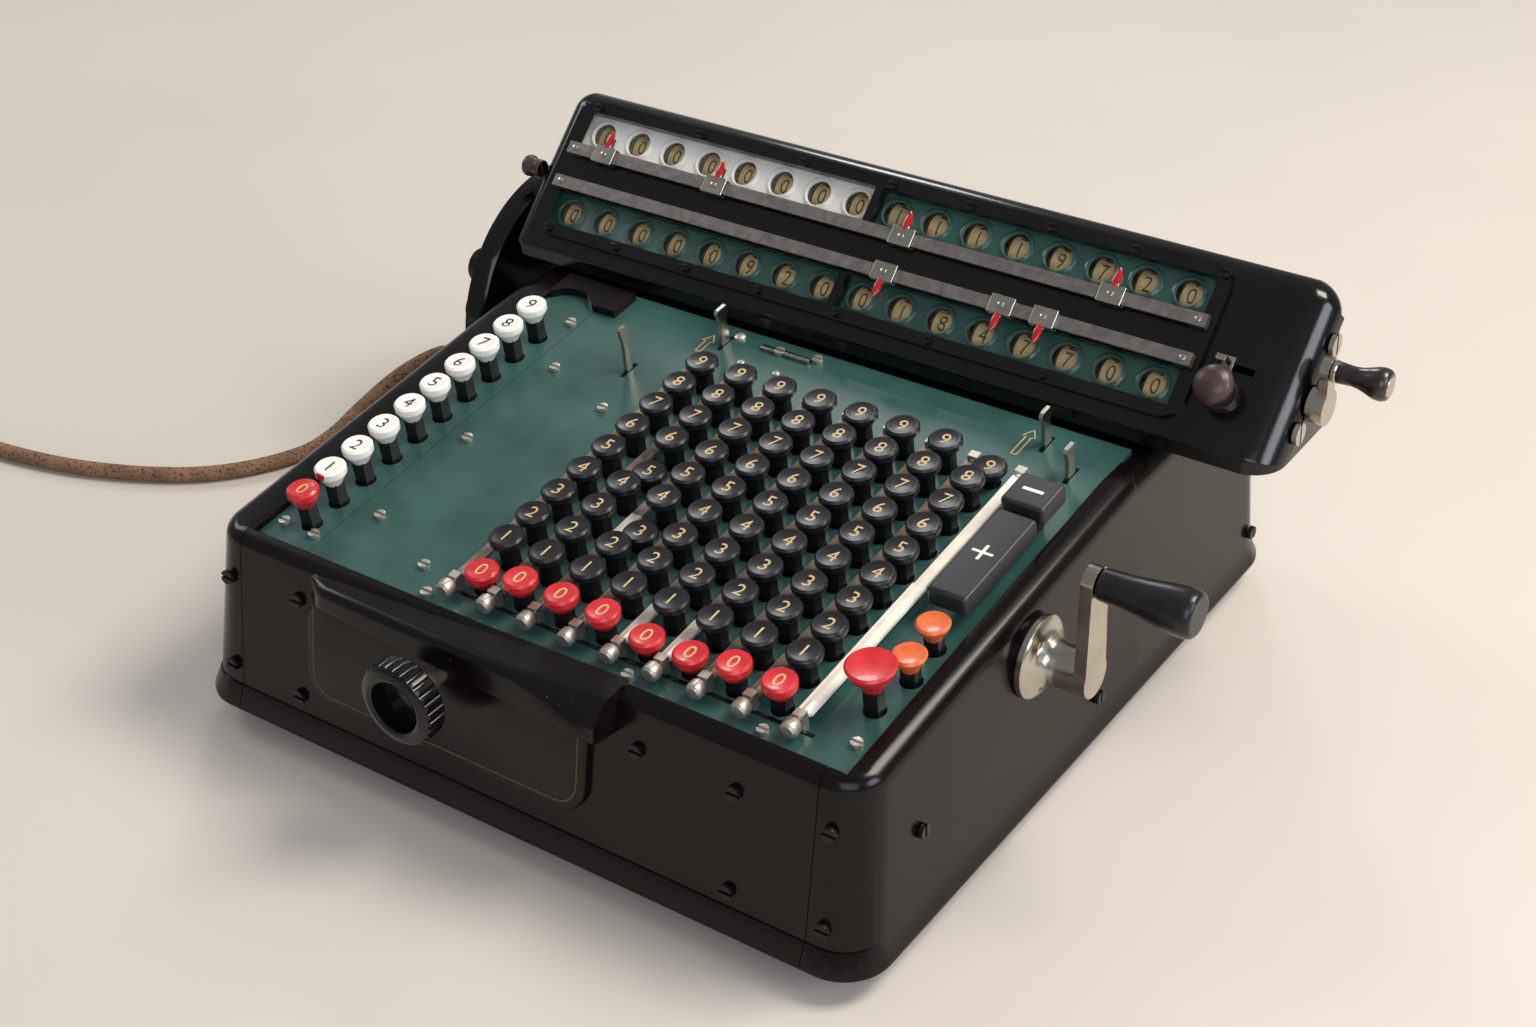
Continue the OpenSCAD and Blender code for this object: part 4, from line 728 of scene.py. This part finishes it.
barSet = {"x": 110.0, "plusV": 89.3, "plusTop": 12.0, "minusV": 120.0, "minusTop": 14.0, "arm": 3.6, "wide": 1.1,
          "minusWide": 1.4, "liftMm": 0.04, "overMm": 0.01}
barX, arm = barSet["x"], barSet["arm"]
bm = bmesh.new()
for dx, dv in ((arm, 0), (0, arm)):
    ends = [(barX - dx, barSet["plusV"] - dv), (barX + dx, barSet["plusV"] + dv)]
    lift = barSet["liftMm"] + (barSet["overMm"] if dv else 0)
    strip(bm, onPlate, ends, barSet["wide"], barSet["plusTop"] + lift)
addPiece("plusSign", bm, "whiteInk", "plus", "ivory")
bm = bmesh.new()
strip(bm, onPlate, [(barX - arm, barSet["minusV"]), (barX + arm, barSet["minusV"])], barSet["minusWide"],
      barSet["minusTop"] + barSet["liftMm"])
addPiece("minusSign", bm, "whiteInk", "minus", "ivory")


# Boxes with broken edges
def slab(bm, matrix, x0, x1, v0, v1, low, high, edge):
    result = bmesh.ops.create_cube(bm, size=1)
    scale = Matrix.Diagonal((x1 - x0, v1 - v0, high - low, 1))
    shift = Matrix.Translation(((x0 + x1) / 2, (v0 + v1) / 2, (low + high) / 2))
    bmesh.ops.transform(bm, matrix=matrix @ shift @ scale, verts=result["verts"])
    edges = list({e for v in result["verts"] for e in v.link_edges})
    bmesh.ops.bevel(bm, geom=edges, offset=edge * mm, offset_type="OFFSET", segments=2, profile=0.5,
                    affect="EDGES", material=-1, clamp_overlap=True)


# Decimal rods: copies with smaller knobs; their grey is painted shade of the keys, and three of them have white
# painted along part of their length as light falling between the keys
rodSet = {"count": 9, "height": 3.9, "lastShift": 1.2, "knobEnd": 8.3, "knobShare": 0.8, "metalTo": 12.3,
          "litWhite": "#e9e4d6", "white": {3: (48, 62), 5: (12, 30), 6: (12, 30)}}


# Painted light: white on a stretch of a rod, the rest of it left in painted shade
def bandPaint(low, high):
    def paint(tree, coords, tone):
        ends = ((onPlate @ Vector((0, v, rodSet["height"]))).y / mm for v in (low, high))
        past = {i: beyond(tree, coords, "y", end) for i, end in enumerate(ends)}
        band = addNode(tree, "ShaderNodeMath", past, operation="SUBTRACT")
        return mixColor(tree, band.outputs[0], tone, linear(rodSet["litWhite"]))
    return paint


for i, (low, high) in rodSet["white"].items():
    # Rods in the painted grey shade of the keys, with painted light in white on a stretch
    looks[f"rod_{i}"] = finish(f"rodShadeAndLight_{i}", "#857a6c", 0.42, metal=0.2, mottle=0.25, mottleMm=4, grainMm=0.6,
                               bump=0.12, paint=bandPaint(low, high))
for i in range(1, rodSet["count"] + 1):
    isLast = i == rodSet["count"]
    x = place["firstColumn"] + (i - 1.5) * place["columnPitch"] + (rodSet["lastShift"] if isLast else 0)
    bm = solidCopy(f"decimal_rod_{i}")
    share, z = rodSet["knobShare"], rodSet["height"]
    for vert in bm.verts:
        q = toPlate @ vert.co
        if q.y < rodSet["knobEnd"]:
            vert.co = onPlate @ Vector((x + (q.x - x) * share, q.y, z + (q.z - z) * share))
    look = "whiteRod" if isLast else f"rod_{i}" if i in rodSet["white"] else "rod"
    rod = addPiece(f"rod_{i}", bm, look, f"rod_{i}", "ivory" if isLast else "rod_grey")
    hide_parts(f"decimal_rod_{i}")
    paintFaces(rod, "satin", lambda c: (toPlate @ c).y < rodSet["metalTo"])

# The first lever is narrower above the plate than the others
leverSet = {"v": 129.5, "share": 0.6, "above": -0.5}
bm = solidCopy("plate_lever_1")
for vert in bm.verts:
    q = toPlate @ vert.co
    if q.z > leverSet["above"]:
        vert.co = onPlate @ Vector((q.x, leverSet["v"] + (q.y - leverSet["v"]) * leverSet["share"], q.z))
narrowLever = addPiece("narrowLever", bm, "nickel", "lever_1", "nickel")
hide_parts("plate_lever_1")

# Strip under the rod knobs and the small catch at the rear edge of the plate
fittingSet = {"rodRail": ((-36.0, 101.5, 8.5, 9.7, 0.02, 0.45), 0.15, "enamel"),
              "plateCatch": ((-21.5, -1.3, 160.2, 162.6, 0.02, 1.4), 0.4, "nickel")}
for name, (box, edge, look) in fittingSet.items():
    bm = bmesh.new()
    slab(bm, onPlate, *box, edge)
    addPiece(name, bm, look, "case", look)
print("stage: keys and rods")

# Number dials: six figures round each dial, the one shown in front
dialSet = {"radius": 6.4, "depth": 7.0, "height": 5.6, "narrow": 0.85, "slices": 7, "figures": 6, "liftMm": 0.05,
           "lower": "0000092001847700", "upper": "0000000011119720"}


def sliced(mesh, s):
    # The figure narrowed and cut across so that it can follow the dial's curve
    cut = bmesh.new()
    cut.from_mesh(mesh)
    for i in range(1, s["slices"]):
        level = s["height"] * (i / s["slices"] - 0.5)
        bmesh.ops.bisect_plane(cut, geom=cut.verts[:] + cut.edges[:] + cut.faces[:], plane_co=(0, level, 0),
                               plane_no=(0, 1, 0))
    bmesh.ops.scale(cut, vec=(s["narrow"], 1, 1), verts=cut.verts)
    cut.to_mesh(mesh)
    cut.free()
    return mesh


dialDigits = [sliced(glyph(str(i), dialSet["height"]), dialSet) for i in range(10)]


def onDial(x, s, turn):
    radius, reach = dialSet["radius"], dialSet["radius"] + dialSet["liftMm"]

    def spot(p):
        angle = turn + p.y / radius
        height = reach * math.cos(angle) - radius - dialSet["depth"]
        return onFace @ Vector((x + p.x, s + reach * math.sin(angle), height))
    return spot


for rowName, s, body in (("lower", 0, "lower_row"), ("upper", place["dialRowGap"], "upper_row")):
    bm = bmesh.new()
    for i, shown in enumerate(dialSet[rowName]):
        x = place["firstDial"] + i * place["columnPitch"]
        for k in range(dialSet["figures"]):
            turn = k * math.tau / dialSet["figures"]
            stamp(bm, dialDigits[(int(shown) + k) % 10], onDial(x, s, turn))
    addPiece(f"{rowName}Figures", bm, "ink", body, "dial_cream")

# Raised rims round the dial holes
rimSet = {"steps": 24, "white": 8, "smooth": 60,
          "profile": ((4.7, -5.3), (4.7, -4.2), (4.9, -3.95), (5.3, -3.95), (5.6, -4.25), (6.0, -4.25),
                      (6.3, -4.62), (5.25, -4.62), (5.25, -5.3), (4.7, -5.3))}
greenRims, whiteRims = bmesh.new(), bmesh.new()
for s in (0, place["dialRowGap"]):
    for i in range(place["dials"]):
        at = Matrix.Translation((place["firstDial"] + i * place["columnPitch"], s, 0))
        bm = whiteRims if s and i < rimSet["white"] else greenRims
        turned(bm, onFace @ at, rimSet["profile"], rimSet["steps"])
for name, bm in (("greenRims", greenRims), ("whiteRims", whiteRims)):
    addPiece(name, bm, "masks", "carriage", "plate_green", rimSet["smooth"])
print("stage: dials")

# Red pointers on the decimal markers
pointerSet = {"railS": (9.0, 22.5), "xs": ((14, 60, 76), (-114, -64, 15, 95)), "reach": 7.0, "wide": 1.4,
              "base": 2.6, "levels": ((3.15, 1.0), (3.85, 0.95), (4.1, 0.55)), "tipShare": 0.1,
              "outline": ((-0.5, 0), (-1, 0.35), (-0.75, 0.75), (0, 1), (0.75, 0.75), (1, 0.35), (0.5, 0))}
bm = bmesh.new()
for side, s, xs in zip((-1, 1), pointerSet["railS"], pointerSet["xs"]):
    for x in xs:
        rings = []
        for height, shrink in pointerSet["levels"]:
            wide = pointerSet["wide"] * shrink
            reach = pointerSet["reach"] * (1 - pointerSet["tipShare"] * (1 - shrink))
            spots = [(x + a * wide, s + side * (pointerSet["base"] + b * reach), height)
                     for a, b in pointerSet["outline"]]
            rings.append(ring(bm, [onFace @ Vector(spot) for spot in spots]))
        skin(bm, rings)
        for end in (rings[0], rings[-1]):
            bmesh.ops.edgeloop_fill(bm, edges=end)
bmesh.ops.recalc_face_normals(bm, faces=bm.faces)
addPiece("markerPointers", bm, "pointer", "markers", "key_red")

# Rivets on the markers, screws at the ends of their rails and three domes on the keyboard plate
rivetSet = {"markerTop": 4.0, "railTop": 2.8, "railEnds": (-128.0, 126.0), "steps": 16, "domeSteps": 20,
            "crown": 1.6, "liftMm": 0.01,
            "domes": ((-31.9, 163.1, 1.9), (-23.0, 150.7, 1.25), (-8.4, 150.8, 1.25)),
            "profile": ((0, 0), (1.15, 0), (1.05, 0.3), (0.6, 0.5), (0, 0.5))}
markerRivets, railScrews, plateRivets = bmesh.new(), bmesh.new(), bmesh.new()
for s, xs in zip(pointerSet["railS"], pointerSet["xs"]):
    for bm, spots, top in ((markerRivets, xs, rivetSet["markerTop"]),
                           (railScrews, rivetSet["railEnds"], rivetSet["railTop"])):
        for x in spots:
            turned(bm, onFace @ Matrix.Translation((x, s, top)), rivetSet["profile"], rivetSet["steps"])
for x, v, share in rivetSet["domes"]:
    grow = Matrix.Diagonal((share, share, share * rivetSet["crown"], 1))
    spot = Matrix.Translation((x, v, rivetSet["liftMm"]))
    turned(plateRivets, onPlate @ spot @ grow, rivetSet["profile"], rivetSet["domeSteps"])
addPiece("markerRivets", markerRivets, "nickel", "markers", "nickel")
addPiece("plateRivets", plateRivets, "satin", "case", "nickel")
addPiece("railScrews", railScrews, "nickel", "carriage", "nickel")

# Gold line round the shift cover and two pale arrows on the keyboard plate
lineSet = {"left": -78.0, "right": 30.0, "low": 20.0, "high": 51.0, "radius": 8.0, "steps": 6, "depth": 2.66,
           "wide": 0.5}


def coverLine(s):
    r, v = s["radius"], s["low"] + s["radius"]
    corners = quarter(s["left"] + r, v, r, 180, s["steps"]) + quarter(s["right"] - r, v, r, 270, s["steps"])
    return [(s["left"], s["high"])] + corners + [(s["right"], s["high"])]


bm = bmesh.new()
strip(bm, frontPlane, coverLine(lineSet), lineSet["wide"], lineSet["depth"])
addPiece("coverLine", bm, "gold", "case", "enamel")

arrowSet = {"at": ((-41.1, 149.9, 10.3), (86.0, 148.8, 14.0)), "wide": 0.5, "high": 0.06, "stem": 1.0, "barb": 2.4,
            "headLong": 4.0}
bm = bmesh.new()
stem, barb = arrowSet["stem"], arrowSet["barb"]
for x, tail, length in arrowSet["at"]:
    tip, neck = tail + length, tail + length - arrowSet["headLong"]
    for line in ([(x - stem, tail), (x - stem, neck)], [(x + stem, tail), (x + stem, neck)],
                 [(x - stem, tail), (x + stem, tail)],
                 [(x - stem, neck), (x - barb, neck), (x, tip), (x + barb, neck), (x + stem, neck)]):
        strip(bm, onPlate, line, arrowSet["wide"], arrowSet["high"])
addPiece("plateArrows", bm, "cream", "case", "plate_green")
print("stage: lines and pointers")

# Mains cord: the route on the table and the coil of what the photograph doesn't show
cordSet = {"diameter": 6.0, "z": 3.2, "coilX": -380.0, "coilY": 32.0, "coilR": 39.0, "step": 7.3, "layerTurns": 2,
           "layers": 4, "rings": 24, "tail": 60.0, "tailZ": 9.8, "tailSteps": 5, "intoPlug": 6.0, "blendSteps": 4}
route = [(-190, 205, 22), (-204, 204, 20), (-218, 193, 11), (-222, 173, 4), (-218, 152, 3.2), (-219, 134, 3.2),
         (-231, 113, 3.2), (-251, 96, 3.2), (-284, 81, 3.2), (-318, 73, 3.2), (-348, 71, 3.2), (-374, 71, 3.2)]


def blendPoint(points, i, t):
    # A smooth curve through the points of the route
    a, b, c, d = (Vector(points[min(max(k, 0), len(points) - 1)]) for k in (i - 1, i, i + 1, i + 2))
    return 0.5 * (2 * b + (c - a) * t + (2 * a - 5 * b + 4 * c - d) * t ** 2 + (3 * b - a - 3 * c + d) * t ** 3)


def coilPoint(u, s):
    # Each layer winds in or out, then climbs in half a turn to the next
    span = s["layerTurns"] + 0.5
    layer = min(int(u // span), s["layers"] - 1)
    part = u - layer * span
    along = min(part, s["layerTurns"])
    inward = along if layer % 2 == 0 else s["layerTurns"] - along
    radius = s["coilR"] - inward * s["step"]
    z = s["z"] + s["step"] * (layer + max(part - s["layerTurns"], 0) * 2)
    return Vector((s["coilX"] - radius * math.sin(math.tau * u), s["coilY"] + radius * math.cos(math.tau * u), z))


steps = cordSet["blendSteps"]
cordPath = [blendPoint(route, i, k / steps) for i in range(len(route) - 1) for k in range(steps)]
cordPath.append(Vector(route[-1]))
turns = cordSet["layers"] * cordSet["layerTurns"] + (cordSet["layers"] - 1) * 0.5
coilRings = int(turns * cordSet["rings"])
cordPath += [coilPoint(i / cordSet["rings"], cordSet) for i in range(coilRings + 1)]
topZ = cordPath[-1].z
for k in range(1, cordSet["tailSteps"] + 1):
    share = k / cordSet["tailSteps"]
    ease = share ** 2 * (3 - 2 * share)
    cordPath.append(Vector((cordSet["coilX"] + cordSet["tail"] * share, cordSet["coilY"] - cordSet["coilR"],
                            topZ + (cordSet["tailZ"] - topZ) * ease)))
cordPath.append(cordPath[-1] + Vector((cordSet["intoPlug"], 0, 0)))
cordPath = [row(*p) for p in cordPath]
cordLength = sum((b - a).length for a, b in zip(cordPath, cordPath[1:]))
cordCurve = bpy.data.curves.new("mainsCord", "CURVE")
cordCurve.dimensions = "3D"
cordCurve.bevel_depth = cordSet["diameter"] / 2 * mm
cordCurve.bevel_resolution = 3
cordCurve.use_fill_caps = True
spline = cordCurve.splines.new("POLY")
spline.points.add(len(cordPath) - 1)
for point, p in zip(spline.points, cordPath):
    point.co = (*p, 1)
spline.use_smooth = True
cordCurve.materials.append(looks["braid"])
mainsCord = bpy.data.objects.new("mainsCord", cordCurve)
bpy.context.scene.collection.objects.link(mainsCord)
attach(mainsCord, "case")
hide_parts("cord_lead", "cord_coil")
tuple(cordPath[0])

# Strap that ties the coil
tieSet = {"angle": 200.0, "inner": 19.0, "outer": 44.0, "low": 0.3, "high": 29.5, "wide": 7.0, "thick": 1.0,
          "corner": 4.0, "steps": 5}
bm = bmesh.new()
across = math.radians(tieSet["angle"])
outward = Vector((math.cos(across), math.sin(across), 0))
sideways = Vector((-math.sin(across), math.cos(across), 0))
coilCentre = Vector((cordSet["coilX"], cordSet["coilY"], 0))
rings = []
for inset, side in ((0, -0.5), (0, 0.5), (tieSet["thick"], 0.5), (tieSet["thick"], -0.5)):
    at = coilCentre + sideways * side * tieSet["wide"]
    box = roundedBox(*(tieSet[k] for k in ("inner", "outer", "low", "high", "corner")), inset, tieSet["steps"])
    rings.append(ring(bm, [row(*(at + outward * r + Vector((0, 0, z)))) for r, z in box]))
for pair in (rings[:2], rings[2:]):
    skin(bm, pair)
for a, b in ((0, 3), (1, 2)):
    bmesh.ops.triangle_fill(bm, edges=rings[a] + rings[b], use_beauty=True)
bmesh.ops.recalc_face_normals(bm, faces=bm.faces)
addPiece("cordTie", bm, "rubber", "case", "plug_black")
print("stage: cord", round(cordLength, 3))

# Floor, light and view
studioSet = {"floor": 9.0, "aim": (0, 0, 0.05), "sky": "#dfe2e6", "strength": 0.36}
bm = bmesh.new()
bmesh.ops.create_grid(bm, x_segments=1, y_segments=1, size=studioSet["floor"])
floorMesh = bpy.data.meshes.new("floor")
bm.to_mesh(floorMesh)
bm.free()
# Pale matt paper
floorMesh.materials.append(finish("paleFloor", "#cdc7bd", 0.6, mottle=0.02, mottleMm=200, bump=0.02))
floor = bpy.data.objects.new("floor", floorMesh)
bpy.context.scene.collection.objects.link(floor)

lights = [("keyLight", (0.75, 0.5, 1.3), 0.6, 22, "#fff4e6"), ("fillLight", (0.9, -1.2, 0.9), 1.0, 9, "#f4f5ff"),
          ("leftLight", (-1.3, 0.1, 0.9), 0.5, 4, "#ffffff"), ("rimLight", (-0.85, 1.25, 1.1), 0.3, 4, "#ffffff"),
          ("sideLight", (1.5, 0.02, 0.7), 0.6, 9, "#eef3ff")]
for name, at, size, power, color in lights:
    data = bpy.data.lights.new(name, "AREA")
    data.energy = power
    data.size = size
    data.color = linear(color)[:3]
    lamp = bpy.data.objects.new(name, data)
    lamp.location = at
    lamp.rotation_euler = (Vector(studioSet["aim"]) - Vector(at)).to_track_quat("-Z", "Y").to_euler()
    bpy.context.scene.collection.objects.link(lamp)
world = bpy.data.worlds.new("studio")
world.use_nodes = True
sky = world.node_tree.nodes["Background"]
sky.inputs["Color"].default_value = linear(studioSet["sky"])
sky.inputs["Strength"].default_value = studioSet["strength"]
bpy.context.scene.world = world
bpy.context.scene.view_settings.view_transform = "Standard"
print("stage: light")
